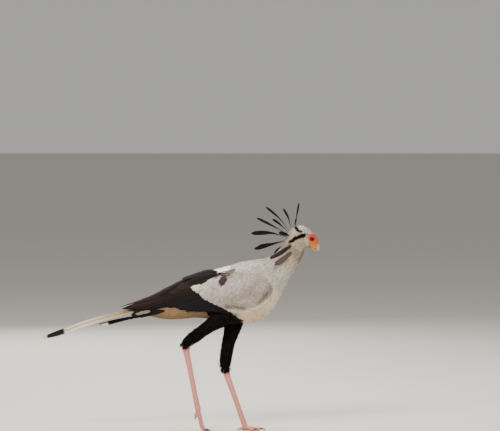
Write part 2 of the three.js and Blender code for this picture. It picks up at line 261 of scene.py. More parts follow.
# Line along the middle of the body, bill to tail tip, used for the lie of the feathers and the unwrap
spine = np.array([
    (0.618, 0.852), (0.6, 0.882), (0.566, 0.897), (0.535, 0.886), (0.512, 0.856), (0.487, 0.805),
    (0.452, 0.748), (0.395, 0.695), (0.3, 0.655), (0.2, 0.63), (0.09, 0.61), (-0.02, 0.588),
    (-0.15, 0.562), (-0.28, 0.545), (-0.46, 0.498), (-0.632, 0.438),
])
legLines = {  # hip, half way, ankle, half way, knuckle of the foot
    "left": np.array([(0.249, 0.038, 0.55), (0.212, 0.029, 0.398), (0.2, 0.018, 0.284),
                      (0.244, 0.018, 0.15), (0.292, 0.018, 0.013)]),
    "right": np.array([(0.221, -0.038, 0.545), (0.083, -0.032, 0.455), (0.014, -0.024, 0.401),
                       (0.044, -0.022, 0.25), (0.077, -0.02, 0.086)]),
}
spineLine = np.stack([spine[:, 0], np.zeros(len(spine)), spine[:, 1]], axis=1)


# Nearest place on a line for many points: share of its length, the offset from it and its way there
def alongLine(points, line):
    best = np.full(len(points), 1e9)
    share = np.zeros(len(points))
    offset, tangent = np.zeros((2, len(points), 3))
    lengths = lineSteps(line)
    before = np.concatenate([[0.0], np.cumsum(lengths)])
    for i, length in enumerate(lengths):
        way = (line[i + 1] - line[i]) / length
        t = np.clip((points - line[i]) @ way, 0.0, length)
        away = points - (line[i] + t[:, None] * way)
        distance = np.linalg.norm(away, axis=1)
        nearer = distance < best
        best[nearer] = distance[nearer]
        share[nearer] = (before[i] + t[nearer]) / before[-1]
        offset[nearer] = away[nearer]
        tangent[nearer] = way
    return share, offset, tangent


# Smooth way of the lie at many points, blended from the stretches of a line
def lieAlong(points, line, reach):
    middles = (line[1:] + line[:-1]) / 2
    ways = unit(np.diff(line, axis=0))
    gaps = points[:, None, :] - middles[None, :, :]
    weight = np.exp(-(gaps ** 2).sum(axis=2) / (2 * reach ** 2)) + 1e-9
    return unit(weight @ ways)


# Skin: one closed surface under the whole coat, made from the flesh pieces of the frame

skinPlan = {
    "voxel": 0.004,
    "swell": 0.0008,       # closes the thin gaps between the pieces
    "slimSwell": 0.003,   # bare legs and toes lie just outside the frame's plain tubes
    "smoothing": 36,
    "coatDepth": {         # how far the skin lies under the feather tips
        "head": 0.0028, "neck_upper": 0.0052, "neck_lower": 0.006, "trunk": 0.0062, "rump": 0.0055,
        "wing": 0.005, "thigh": 0.007, "shank": 0.0, "foot": 0.0,
    },
    "ankleDepth": 0.0036,  # the coat thins out above the ankles
    "seams": [  # parts whose meeting is smoothed, rounds, x and reach of the place
        ("wing", 70, 0.37, 0.08), ("thigh", 30, 0.24, 0.3), ("neck", 30, 0.4, 0.4),
    ],
    "pieces": ["head", "neck_upper", "neck_lower", "trunk", "rump", "wing_left_coverts", "wing_right_coverts",
               "wing_left_flight", "wing_right_flight", "thigh_left", "thigh_right", "shank_left",
               "shank_right", "foot_left", "foot_right"],
}
eyePlan = {
    "centre": (0.5978, 0.017, 0.8862),
    "ball": 0.0093,
    "look": (0.26, 0.96, 0.02),
    "opening": (0.0079, 0.0066),  # half length and half height of the gap between the lids
    "slant": -0.2,
    "outer": (0.015, 0.0135),     # where the lids run out into the face
    "socket": (0.0082, 0.0126),   # radii of the socket in the skin, at its floor and its rim
    "socketDepth": 0.0095,
    "lidReach": 0.013,            # nearest place round the eye where the lids follow the skin
}
bareOvals = [  # bare skin round the eye, down to the bill and forward to its root: (x, z) from, to, radii
    ((0.5965, 0.892), (0.608, 0.856), 0.02, 0.015),
    ((0.606, 0.9), (0.624, 0.864), 0.0135, 0.018),
    ((0.606, 0.856), (0.608, 0.85), 0.015, 0.013),
]
bareEdge = 0.003


def barePart(points):
    nearest = np.full(len(points), 1.0)
    for start, end, first, last in bareOvals:
        distance, t = fromStretch(points[:, [0, 2]], start, end)
        nearest = np.minimum(nearest, distance - (first * (1 - t) + last * t))
    return 1 - smoothStep(nearest, -bareEdge, bareEdge)


# Frame nodes swollen a little and joined to one closed mesh
def voxelFlesh(names, swell, voxel):
    whole = bmesh.new()
    for name in names:
        part = bmesh.new()
        part.from_mesh(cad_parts[name].data)
        bmesh.ops.remove_doubles(part, verts=part.verts, dist=1e-5)
        bmesh.ops.recalc_face_normals(part, faces=part.faces)
        part.normal_update()
        for v in part.verts:
            v.co += v.normal * swell
        mesh = bpy.data.meshes.new("part")
        part.to_mesh(mesh)
        part.free()
        whole.from_mesh(mesh)
        bpy.data.meshes.remove(mesh)
    joined = bpy.data.meshes.new("flesh")
    whole.to_mesh(joined)
    whole.free()
    flesh = linked("flesh", joined)
    remesh = flesh.modifiers.new("remesh", "REMESH")
    remesh.mode = "VOXEL"
    remesh.voxel_size = voxel
    mesh = bpy.data.meshes.new_from_object(flesh.evaluated_get(bpy.context.evaluated_depsgraph_get()))
    bpy.data.objects.remove(flesh)
    return mesh


# Evens out a value over neighbouring points
def relaxed(values, edges, rounds, share=0.5):
    single = values.ndim == 1
    values = values.reshape(len(values), -1).astype(float)
    a, b = edges[:, 0], edges[:, 1]
    count = np.bincount(a, minlength=len(values)) + np.bincount(b, minlength=len(values))
    share = np.broadcast_to(np.asarray(share, dtype=float), (len(values),))
    for _ in range(rounds):
        for axis in range(values.shape[1]):
            old = values[:, axis]
            total = np.bincount(a, old[b], len(values)) + np.bincount(b, old[a], len(values))
            values[:, axis] = old + share * (total / np.maximum(count, 1) - old)
    return values[:, 0] if single else values


# Push and pull, so a shape evens out and doesn't shrink
def evened(points, edges, rounds, share):
    for _ in range(rounds):
        points = relaxed(points, edges, 1, share)
        points = relaxed(points, edges, 1, -share * 1.04)
    return points


# Says which flesh piece of the frame is nearest to each point
class FleshFinder:
    def __init__(self, names):
        points, faces, self.owner = [], [], []
        for index, name in enumerate(names):
            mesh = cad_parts[name].data
            start = len(points)
            points += [v.co.copy() for v in mesh.vertices]
            faces += [[start + i for i in p.vertices] for p in mesh.polygons]
            self.owner += [index] * len(mesh.polygons)
        self.tree = BVHTree.FromPolygons(points, faces)

    def owners(self, points):
        return np.array([self.owner[self.tree.find_nearest(p)[2]] for p in points.tolist()])

    def nearest(self, points):
        return np.array([self.tree.find_nearest(p)[0] for p in points.tolist()])


def splitFaces(mesh, near, cuts):
    shape = bmesh.new()
    shape.from_mesh(mesh)
    edges = [e for e in shape.edges if near[e.verts[0].index] and near[e.verts[1].index]]
    bmesh.ops.subdivide_edges(shape, edges=edges, cuts=cuts, use_grid_fill=True, smooth=0.0)
    bmesh.ops.triangulate(shape, faces=[f for f in shape.faces if len(f.verts) > 4])
    shape.to_mesh(mesh)
    shape.free()


def isSlim(names):
    return np.char.startswith(names, "shank") | np.char.startswith(names, "foot")


# Middle lines of the toes, from the knuckle to the root of each claw
def toeLines(side):
    x, y, z = knuckle = legLines[side][-1]
    rest = 0.0052  # height of a resting toe's middle line
    lines = []
    for toe in ("inner", "middle", "outer"):
        low, high = (np.array(v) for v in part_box(f"claw_{side}_{toe}"))
        heading = (low + high) / 2 - knuckle
        heading[2] = 0
        end = np.linalg.norm(heading) - 0.012
        heading = unit(heading)
        if side == "left":
            heights = [(0.0, z), (0.3 * end, rest + 0.003), (0.65 * end, rest + 0.0008), (end, rest)]
        else:
            heights = [(0.0, z), (0.24 * end, 0.64 * z), (0.46 * end, 0.3 * z), (0.74 * end, rest + 0.0014),
                       (end, rest - 0.0006)]
        lines.append(np.array([(x + d * heading[0], y + d * heading[1], height) for d, height in heights]))
    return lines


padGap = 0.0185


# Toes narrow towards the claws, with soft pads between
def taperToes(points, names):
    for side in sides:
        here = np.where(names == "foot_" + side)[0]
        spots = points[here]
        best = np.full(len(here), 1.0)
        moved = spots.copy()
        for line in toeLines(side):
            line = curveThrough(line, 12)
            share, offset, _ = alongLine(spots, line)
            far = np.linalg.norm(offset, axis=1)
            left = (1 - share) * lineSteps(line).sum()
            size = 0.6 + 0.36 * smoothStep(left, -0.006, 0.02)
            size = size + 0.05 * np.cos(left / padGap * 2 * np.pi - 2.6)
            closer = (far < best) & (share > 0.3)
            best = np.where(closer, far, best)
            moved = np.where(closer[:, None], spots - offset * (1 - np.minimum(size, 1.0))[:, None], moved)
        points[here] = moved
    return points


mouthLine = np.array([(0.6125, 0.842), (0.6075, 0.844), (0.601, 0.8465), (0.595, 0.8495), (0.5915, 0.853)])


def mouthDistance(side):
    return np.min([fromStretch(side, a, b)[0] for a, b in zip(mouthLine[:-1], mouthLine[1:])], axis=0)


# Height of the folds and the mouth line on the bare skin
def faceFolds(points):
    side = points[:, [0, 2]]
    x, z = side[:, 0] * 1000, side[:, 1] * 1000
    warp = 1.3 * np.sin(x * 0.31 + 2.0 * np.sin(z * 0.17)) + 0.9 * np.sin(z * 0.47 + 1.3)
    fine = np.sin(x * 1.15 - z * 0.7 + 1.4 * warp) + 0.7 * np.sin(x * 0.8 + z * 1.25 - warp)
    eye = np.linalg.norm(side - np.array(eyePlan["centre"])[[0, 2]], axis=1) * 1000
    rings = np.sin(eye * 1.9 + 0.8 * warp) * np.exp(-((eye - 15.5) / 4.0) ** 2)
    mouth = mouthDistance(side) * 1000
    height = 0.00009 * fine + 0.00016 * rings
    height += 0.0006 * np.exp(-((mouth - 2.3) / 1.1) ** 2) - 0.0013 * np.exp(-(mouth / 1.15) ** 2)
    root = np.array((0.6262, 0.8718)) - np.array((0.6098, 0.842))  # fades out where the bill begins
    ahead = (side - (0.6098, 0.842)) @ np.array((root[1], -root[0])) / np.linalg.norm(root)
    return height * smoothStep(-ahead, 0.001, 0.006)


def makeSkin(plan):
    mesh = voxelFlesh(plan["pieces"], plan["swell"], plan["voxel"])
    finder = FleshFinder(plan["pieces"])
    parts = np.array(plan["pieces"])
    splitFaces(mesh, isSlim(parts[finder.owners(meshPoints(mesh))]), 1)
    points = meshPoints(mesh)
    splitFaces(mesh, (barePart(points) > 0.02) & (points[:, 2] > 0.83) & (points[:, 0] > 0.56), 2)
    points, edges = meshPoints(mesh), meshEdges(mesh)
    names = parts[finder.owners(points)]
    slim = isSlim(names)
    gentle = np.where(slim, 0.12, 0.5)
    points = relaxed(evened(points, edges, plan["smoothing"], gentle), edges, 4, gentle)
    for start, rounds, x, reach in plan["seams"]:  # softens the steps there
        seam = relaxed(np.char.startswith(names, start).astype(float), edges, 9)
        near = smoothStep(-np.abs(points[:, 0] - x), -reach - 0.05, -reach)
        points = relaxed(points, edges, rounds, 4 * seam * (1 - seam) * 0.5 * near)
    setPoints(mesh, points)
    ups = meshNormals(mesh)
    hold = relaxed(slim.astype(float), edges, 3)[:, None]  # legs go back to their full thickness
    held = np.where(hold > 0.01)[0]
    knob = np.zeros(len(held))
    for line in legLines.values():  # joints stand out a little
        far = np.linalg.norm(points[held] - line[2], axis=1)
        knob += 0.001 * np.exp(-(far / 0.02) ** 2) + 0.0014 * np.exp(-(far / 0.1) ** 2)
    outer = finder.nearest(points[held]) + ups[held] * (plan["slimSwell"] + knob)[:, None]
    points[held] = points[held] * (1 - hold[held]) + outer * hold[held]
    points = relaxed(points, edges, 2, np.where(slim, 0.4, 0.0))
    points = taperToes(points, names)
    points = relaxed(points, edges, 3, np.where(slim, 0.4, 0.0))
    setPoints(mesh, points)
    splitFaces(mesh, (barePart(points) > 0.3) & (names == "head"), 1)  # finer skin for the folds of the face
    points, edges = meshPoints(mesh), meshEdges(mesh)
    names = parts[finder.owners(points)]
    slim = isSlim(names)
    bare = barePart(points) * (names == "head")
    points = relaxed(points, edges, 6, 0.5 * bare)
    setPoints(mesh, points)
    depth = np.zeros(len(points))
    for start, value in plan["coatDepth"].items():
        depth[np.char.startswith(names, start)] = value
    for side, line in legLines.items():
        near = names == "thigh_" + side
        far = np.linalg.norm(points[near] - line[2], axis=1)
        depth[near] = mixed([plan["ankleDepth"]], [depth[near].max()], smoothStep(far, 0.02, 0.13))[:, 0]
    depth = relaxed(depth * (1 - bare), edges, 10) + plan["swell"]
    depth[slim] = np.minimum(depth[slim], relaxed(depth, edges, 2)[slim] * 0.3)
    points = points - meshNormals(mesh) * depth[:, None]
    points = relaxed(points, edges, 3, np.where(slim, 0.0, 0.5))
    for out in (-1, 1):  # sockets, so the skin stays behind the balls of the eyes
        offset = points - np.array(eyePlan["centre"]) * (1, out, 1)
        wide = np.linalg.norm(offset[:, [0, 2]], axis=1)
        near = offset[:, 1] * out > -0.012
        points[near, 1] -= out * eyePlan["socketDepth"] * (1 - smoothStep(wide[near], *eyePlan["socket"]))
    setPoints(mesh, points)
    points = points + meshNormals(mesh) * (faceFolds(points) * bare)[:, None]
    points[:, 2] = np.maximum(points[:, 2], 0.0)
    setPoints(mesh, points)
    mesh.shade_smooth()
    return mesh, names, depth


skinMesh, skinPart, skinDepth = makeSkin(skinPlan)
print("skin:", len(skinMesh.vertices), "points")


# Markings, painted on the skin and the coat alike. Side view places are (x, z) in metres

baseColours = {
    "head": (0.455, 0.388, 0.292),
    "neck_upper": (0.402, 0.322, 0.24),
    "neck_lower": (0.53, 0.485, 0.43),
    "trunk": (0.66, 0.555, 0.405),
    # rump: cream feathers darkened to tan, as painted shade
    "rump": (0.275, 0.19, 0.113),
    "wing": (0.41, 0.372, 0.337),
    "thigh": (0.011, 0.009, 0.009),
    "shank": (0.62, 0.29, 0.235),
    "foot": (0.57, 0.27, 0.21),
}
patches = [  # parts, from, to, radius, soft edge, colour, strength
    ("wing", (0.38, 0.8), (0.1, 0.72), 0.04, 0.05, (0.5, 0.47, 0.43), 0.8),
    ("wing", (0.31, 0.65), (0.2, 0.605), 0.022, 0.034, (0.315, 0.268, 0.225), 0.7),
    ("wing", (0.345, 0.7), (0.32, 0.65), 0.008, 0.022, (0.34, 0.27, 0.23), 0.55),
    ("wing", (0.345, 0.63), (0.33, 0.605), 0.006, 0.018, (0.34, 0.26, 0.215), 0.6),
    ("wing", (0.4, 0.76), (0.36, 0.735), 0.008, 0.025, (0.4, 0.35, 0.32), 0.5),
    # painted shade along the lower front edge of the wing, darkest in a thin line at the edge
    ("wing", (0.425, 0.69), (0.365, 0.612), 0.01, 0.02, (0.3, 0.25, 0.21), 0.72),
    ("wing", (0.392, 0.64), (0.352, 0.596), 0.004, 0.01, (0.19, 0.15, 0.13), 0.75),
    ("wing", (0.28, 0.572), (0.2, 0.58), 0.007, 0.01, (0.16, 0.14, 0.13), 0.75),
    ("wing", (0.29, 0.552), (0.21, 0.562), 0.005, 0.008, (0.58, 0.51, 0.41), 0.7),
    ("wing", (0.27, 0.7), (0.2, 0.66), 0.03, 0.04, (0.47, 0.44, 0.42), 0.6),
    ("wing", (0.128, 0.716), (0.235, 0.742), 0.0065, 0.006, (0.03, 0.022, 0.02), 0.95),
    ("wing", (0.15, 0.737), (0.205, 0.757), 0.0125, 0.006, (0.82, 0.81, 0.78), 1.0),
    ("wing", (0.145, 0.76), (0.225, 0.784), 0.004, 0.006, (0.13, 0.1, 0.095), 0.85),
    ("wing", (0.1, 0.67), (0.06, 0.652), 0.012, 0.02, (0.58, 0.56, 0.52), 0.7),
    ("wing", (0.19, 0.708), (0.181, 0.69), 0.0125, 0.008, (0.075, 0.052, 0.05), 0.97),
    ("wing", (0.198, 0.716), (0.225, 0.728), 0.0055, 0.01, (0.09, 0.065, 0.055), 0.85),
    ("wing", (0.232, 0.722), (0.262, 0.72), 0.01, 0.018, (0.33, 0.26, 0.21), 0.6),
    # painted shadow: a thin dark line across the wing
    ("wing", (0.21, 0.735), (0.3, 0.722), 0.004, 0.01, (0.3, 0.26, 0.23), 0.5),
    ("neck", (0.545, 0.83), (0.48, 0.745), 0.01, 0.022, (0.5, 0.43, 0.35), 0.6),
    # painted light: the throat under the chin lightened, as if sunlit
    ("", (0.556, 0.851), (0.545, 0.842), 0.008, 0.012, (0.64, 0.53, 0.41), 0.75),
    ("neck", (0.5, 0.79), (0.478, 0.772), 0.008, 0.02, (0.46, 0.34, 0.25), 0.5),
    ("neck", (0.505, 0.84), (0.45, 0.785), 0.012, 0.02, (0.34, 0.3, 0.275), 0.5),
    ("head", (0.6, 0.925), (0.545, 0.935), 0.022, 0.02, (0.6, 0.555, 0.46), 0.85),
    ("", (0.52, 0.895), (0.54, 0.91), 0.016, 0.016, (0.52, 0.44, 0.385), 0.7),
    ("head", (0.574, 0.895), (0.574, 0.865), 0.006, 0.008, (0.66, 0.6, 0.5), 0.8),
    ("head", (0.586, 0.862), (0.582, 0.842), 0.003, 0.006, (0.3, 0.2, 0.13), 0.6),
    ("", (0.559, 0.904), (0.5475, 0.9015), 0.0092, 0.004, (0.01, 0.007, 0.008), 1.0),
    ("", (0.538, 0.8975), (0.5165, 0.889), 0.0078, 0.004, (0.012, 0.008, 0.008), 1.0),
    ("", (0.515, 0.884), (0.495, 0.873), 0.006, 0.004, (0.012, 0.008, 0.008), 1.0),
    ("", (0.533, 0.926), (0.52, 0.941), 0.0062, 0.004, (0.012, 0.008, 0.008), 1.0),
    ("", (0.548, 0.923), (0.54, 0.921), 0.0038, 0.004, (0.03, 0.022, 0.02), 0.95),
    ("", (0.563, 0.912), (0.582, 0.911), 0.0012, 0.003, (0.05, 0.035, 0.03), 0.8),
    ("neck", (0.504, 0.866), (0.488, 0.846), 0.0055, 0.006, (0.02, 0.015, 0.015), 0.9),
    # painted shadow under the lying plumes of the neck
    ("neck", (0.478, 0.792), (0.425, 0.752), 0.006, 0.012, (0.2, 0.175, 0.16), 0.6),
    ("trunk", (0.395, 0.8), (0.46, 0.67), 0.034, 0.03, (0.56, 0.515, 0.455), 0.95),
    ("trunk", (0.4, 0.6), (0.3, 0.57), 0.02, 0.03, (0.72, 0.6, 0.43), 0.6),
    # painted light: the breast below the shoulder lightened, as if sunlit
    ("trunk", (0.435, 0.67), (0.4, 0.59), 0.018, 0.034, (0.8, 0.72, 0.59), 0.9),
    ("trunk", (0.47, 0.79), (0.45, 0.69), 0.035, 0.045, (0.52, 0.485, 0.44), 0.85),
    ("trunk", (0.44, 0.8), (0.405, 0.76), 0.03, 0.03, (0.44, 0.41, 0.38), 0.9),
    ("trunk", (0.44, 0.74), (0.43, 0.69), 0.01, 0.025, (0.62, 0.575, 0.515), 0.7),
    # painted shade: the lower rear of the trunk darkened to tan, as on the rump
    ("trunk", (0.15, 0.555), (-0.08, 0.54), 0.04, 0.036, (0.285, 0.2, 0.122), 1.0),
    ("trunk", (0.125, 0.548), (0.185, 0.565), 0.013, 0.006, (0.012, 0.01, 0.01), 1.0),
    ("trunk", (0.22, 0.536), (0.262, 0.507), 0.012, 0.007, (0.012, 0.01, 0.01), 1.0),
    ("trunk", (0.215, 0.512), (0.266, 0.494), 0.014, 0.006, (0.012, 0.01, 0.01), 1.0),
    ("trunk", (0.21, 0.545), (0.2, 0.5), 0.02, 0.007, (0.012, 0.01, 0.01), 1.0),
]
# Lower front edge of the wing: breast feathers lap over everything below this line
breastLine = np.array([
    (0.262, 0.545), (0.278, 0.553), (0.347, 0.58), (0.405, 0.626), (0.428, 0.661), (0.436, 0.7),
])
faceColours = {
    "brow": (0.56, 0.065, 0.045), "middle": (0.57, 0.135, 0.038), "low": (0.56, 0.185, 0.032),
    "gape": (0.56, 0.34, 0.08),
}


# Share of a stadium shaped patch at side view places
def patchShare(side, start, end, radius, edge):
    return 1 - smoothStep(fromStretch(side, start, end)[0], radius - edge / 2, radius + edge)


# Rear upper part of the folded wing, where only the long dark feathers lie
darkFront = 0.1305
darkLine = np.array([
    (-0.05, 0.62), (0.045, 0.662), (0.08, 0.685), (0.116, 0.7), (0.13, 0.712), (darkFront, 0.9),
])


def inDarkField(side):
    return (side[:, 0] < darkFront) & (side[:, 1] > np.interp(side[:, 0], darkLine[:, 0], darkLine[:, 1]))


def faceColour(points):
    z = points[:, 2]
    c = mixed(faceColours["middle"], faceColours["brow"], smoothStep(z, 0.884, 0.9))
    c = mixed(c, faceColours["low"], 1 - smoothStep(z, 0.852, 0.876))
    side = points[:, [0, 2]]
    gape = patchShare(side, (0.606, 0.85), (0.598, 0.843), 0.004, 0.006)
    mouth = mouthDistance(side)
    c = mixed(c, faceColours["gape"], np.maximum(gape * 0.8, 0.9 * (1 - smoothStep(mouth, 0.0015, 0.0045))))
    # dark line along the mouth: painted shade in its crease
    return mixed(c, (0.1, 0.035, 0.02), 0.9 * (1 - smoothStep(mouth, 0.0004, 0.0016)))


def plumage(points, parts):
    colour = np.ones((len(points), 3)) * 0.5
    for start, value in baseColours.items():
        colour[np.char.startswith(parts, start)] = value
    side = points[:, [0, 2]]
    x, z = side[:, 0] * 1000, side[:, 1] * 1000
    wobble = np.stack([np.sin(z * 0.61 + 1.7 * np.sin(x * 0.23)),
                       np.sin(x * 0.53 + 1.9 * np.sin(z * 0.29))], axis=1)
    side = side + 0.0016 * wobble  # keeps the edges of the marks uneven
    wing = np.char.startswith(parts, "wing") & (side[:, 0] > 0.262)
    under = np.interp(side[:, 0], breastLine[:, 0], breastLine[:, 1]) - side[:, 1]
    lapped = np.where(wing, smoothStep(under, -0.004, 0.004), 0.0)
    for start, a, b, radius, edge, value, strength in patches:
        here = np.char.startswith(parts, start)
        share = patchShare(side[here], a, b, radius, edge)
        colour[here] = mixed(colour[here], value, share * strength)
    colour = mixed(colour, (0.7, 0.59, 0.43), lapped)
    across, down = 0.79 * x - 0.61 * z, 0.61 * x + 0.79 * z
    streaks = np.sin(across * 0.62 + 1.4 * np.sin(down * 0.07)) * np.sin(across * 0.27 + down * 0.045)
    colour = colour * (1 + 0.13 * streaks * np.char.startswith(parts, "neck"))[:, None]
    mottled = np.sin(x * 0.19 + 2.1 * np.sin(z * 0.11 + 0.6)) * np.sin(z * 0.23 + 1.8 * np.sin(x * 0.09))
    colour = colour * (1 + 0.07 * mottled)[:, None]
    ridge = np.char.startswith(parts, "wing") * (1 - smoothStep(np.abs(points[:, 1]), 0.006, 0.016))
    colour = mixed(colour, (0.19, 0.16, 0.145), ridge * (1 - smoothStep(points[:, 0], 0.2, 0.27)) * 0.9)
    dark = np.char.endswith(parts, "flight")
    dark |= np.char.startswith(parts, "wing") & inDarkField(points[:, [0, 2]])
    colour[dark] = (0.014, 0.011, 0.011)
    return colour


def paintSkin():
    points = meshPoints(skinMesh)
    colour = relaxed(plumage(points, skinPart) * 0.82, meshEdges(skinMesh), 3)
    colour[isSlim(skinPart)] /= 0.86
    paint(skinMesh, mixed(colour, faceColour(points), barePart(points) * (skinPart == "head")))


# Materials, all procedural, tinted by the painted markings


def newMaterial(name, shaderValues):
    material = bpy.data.materials.new(name)
    material.use_nodes = True
    shader = material.node_tree.nodes["Principled BSDF"]
    for socket, value in shaderValues.items():
        shader.inputs[socket].default_value = value
    return material, material.node_tree, shader


# Adds a node. Sockets get a plain value, or a link where the value is another node's socket
def addNode(tree, kind, inputs=(), **settings):
    node = tree.nodes.new("ShaderNode" + kind)
    for key, value in settings.items():
        setattr(node, key, value)
    for socket, value in dict(inputs).items():
        if isinstance(value, bpy.types.NodeSocket):
            tree.links.new(value, node.inputs[socket])
        else:
            node.inputs[socket].default_value = value
    return node


def maths(tree, operation, *values):
    return addNode(tree, "Math", enumerate(values), operation=operation).outputs[0]


def addBump(tree, shader, height, strength, distance):
    bump = addNode(tree, "Bump", {"Strength": strength, "Distance": distance, "Height": height})
    tree.links.new(bump.outputs["Normal"], shader.inputs["Normal"])


def plumageMaterial(name, roughness, barbs, specular=0.15):
    material, tree, shader = newMaterial(name, {"Roughness": roughness, "Specular IOR Level": specular})
    tint = addNode(tree, "Attribute", attribute_name="plumage")
    blotch = addNode(tree, "TexNoise", {"Scale": 60.0, "Detail": 4.0})
    tone = addNode(tree, "MapRange", {"To Min": 0.8, "To Max": 1.16, "Value": blotch.outputs["Fac"]})
    shade = tone.outputs["Result"]
    if barbs:
        vane = addNode(tree, "UVMap", uv_map="vane")
        place = addNode(tree, "SeparateXYZ", {0: vane.outputs["UV"]})
        away = maths(tree, "ABSOLUTE", maths(tree, "SUBTRACT", place.outputs["X"], 0.5))  # from the shaft
        slant = maths(tree, "MULTIPLY_ADD", away, -0.55, place.outputs["Y"])  # the barbs slant to both sides
        rows = maths(tree, "MULTIPLY", slant, barbs)
        addBump(tree, shader, maths(tree, "SINE", rows), 0.25, 0.0006)
        streak = addNode(tree, "TexNoise", {"Scale": 1.0, "W": rows}, noise_dimensions="1D")
        streakTone = addNode(tree, "MapRange", {"From Min": 0.3, "From Max": 0.7, "To Min": 0.88,
                                                "To Max": 1.1, "Value": streak.outputs["Fac"]})
        shaft = addNode(tree, "MapRange", {"From Max": 0.07, "To Min": 0.8, "Value": away})
        both = maths(tree, "MULTIPLY", streakTone.outputs["Result"], shaft.outputs["Result"])
        shade = maths(tree, "MULTIPLY", both, shade)
    tinted = addNode(tree, "VectorMath", {0: tint.outputs["Color"], "Scale": shade}, operation="SCALE")
    tree.links.new(tinted.outputs["Vector"], shader.inputs["Base Color"])
    return material


def bareSkinMaterial():
    material = plumageMaterial("bareSkin", 0.5, 0, 0.4)
    tree = material.node_tree
    shader = tree.nodes["Principled BSDF"]
    pores = addNode(tree, "TexVoronoi", {"Scale": 700.0})
    grain = addNode(tree, "TexNoise", {"Scale": 900.0})
    addBump(tree, shader, maths(tree, "ADD", pores.outputs["Distance"], grain.outputs["Fac"]), 0.3, 0.0004)
    shader.inputs["Subsurface Weight"].default_value = 0.08
    shader.inputs["Subsurface Radius"].default_value = (0.004, 0.002, 0.001)
    return material


featherMaterial = plumageMaterial("feather", 0.85, 300.0)
bladeMaterial = plumageMaterial("flightFeather", 0.68, 900.0, 0.18)
skinMaterial = bareSkinMaterial()

paintSkin()
skinMesh.materials.clear()
skinMesh.materials.append(skinMaterial)
owned(linked("skin", skinMesh), "white_feather", *skinPlan["pieces"])
print("skin painted")

# Surface of the skin, asked for nearest places and ways of the lie


class SkinSurface:
    def __init__(self, mesh):
        mesh.calc_loop_triangles()
        self.points = meshPoints(mesh)
        self.tris = readAll(mesh.loop_triangles, "vertices", 3, np.int32)
        self.faceNormals = unit(meshNormals(mesh)[self.tris].sum(axis=1))
        self.tree = BVHTree.FromPolygons(self.points.tolist(), self.tris.tolist())
        self.spots = KDTree(len(self.points))
        for index, spot in enumerate(self.points.tolist()):
            self.spots.insert(spot, index)
        self.spots.balance()

    def nearest(self, points):
        found = [self.tree.find_nearest(p) for p in points.reshape(-1, 3).tolist()]
        places = np.array([f[0] for f in found])
        faces = np.array([f[2] for f in found])
        return places.reshape(points.shape), self.faceNormals[faces].reshape(points.shape)

    def nearestPoint(self, points):
        found = [self.spots.find(p)[1] for p in points.reshape(-1, 3).tolist()]
        return np.array(found).reshape(points.shape[:-1])

    # Where a ray from a point meets the skin, or else the nearest place to another point
    def hit(self, start, way, otherwise, reach=1e6):
        place = self.tree.ray_cast(Vector(start), Vector(way), reach)[0]
        return np.array(place or self.tree.find_nearest(Vector(otherwise))[0])


surface = SkinSurface(skinMesh)


# How far out to one side the skin lies at a side view place
def skinOut(x, z, out, otherwise, start=0.08):
    hit = surface.tree.ray_cast(Vector((x, start * out, z)), Vector((0, -out, 0)))[0]
    return otherwise if hit is None else hit[1]


def flat(ways, normals):
    return unit(ways - normals * (ways * normals).sum(axis=-1, keepdims=True))


faceCentre = np.array((0.61, 0.0, 0.866))


# Backwards along the body, and out from the bill on the face
def bodyLie(points):
    along = lieAlong(points, spineLine, 0.045)
    face = points - faceCentre
    face[:, 1] *= 0.4
    far = np.linalg.norm(face, axis=1)
    ray = unit(unit(face) + np.array((-0.55, 0.0, -0.12)))
    return unit(mixed(ray, along, smoothStep(far, 0.045, 0.105)))


def wingLie(points):
    x, z = points[:, 0], points[:, 2]
    low = smoothStep(0.7 - z, 0.0, 0.14)
    front = smoothStep(x, 0.33, 0.43)
    way = np.stack([-np.ones(len(x)), np.zeros(len(x)), -0.36 - 0.1 * low - 0.45 * front], axis=1)
    return unit(way)


featherSizes = np.array([  # side view place x, z, then length, half width and gap in millimetres
    (0.59, 0.932, 7.5, 0.75, 2.3), (0.572, 0.87, 7.5, 0.7, 2.2), (0.585, 0.843, 6.5, 0.62, 2.2),
    (0.545, 0.925, 12, 1.05, 2.7), (0.52, 0.895, 15, 1.15, 3.0), (0.54, 0.855, 13, 0.95, 2.8),
    (0.51, 0.83, 20, 1.2, 3.1), (0.47, 0.765, 26, 1.7, 3.7), (0.455, 0.72, 30, 2.8, 4.6),
    (0.43, 0.64, 28, 4.0, 5.4), (0.35, 0.585, 32, 5.0, 6.0), (0.1, 0.56, 32, 5.0, 6.2),
    (-0.1, 0.55, 36, 6.0, 6.4), (0.15, 0.64, 34, 6.0, 6.4),
])
wingSizes = np.array([
    (0.39, 0.78, 17, 4.4, 4.6), (0.425, 0.67, 14, 3.6, 4.2), (0.3, 0.78, 25, 6.5, 6.0),
    (0.3, 0.68, 23, 6.2, 5.8), (0.34, 0.6, 18, 4.6, 4.8), (0.2, 0.76, 32, 8.5, 7.2),
    (0.18, 0.66, 34, 8.8, 7.4), (0.22, 0.57, 24, 6.0, 5.8), (0.08, 0.7, 38, 9.5, 8.0),
])


def sizesAt(points, table, reach, grain):
    gaps = points[:, None, [0, 2]] - table[None, :, :2]
    weight = np.exp(-(gaps ** 2).sum(axis=2) / (2 * reach ** 2)) + 1e-12
    found = (weight @ table[:, 2:]) / weight.sum(axis=1, keepdims=True) / 1000
    return found[:, 0], found[:, 1], found[:, 2] * grain


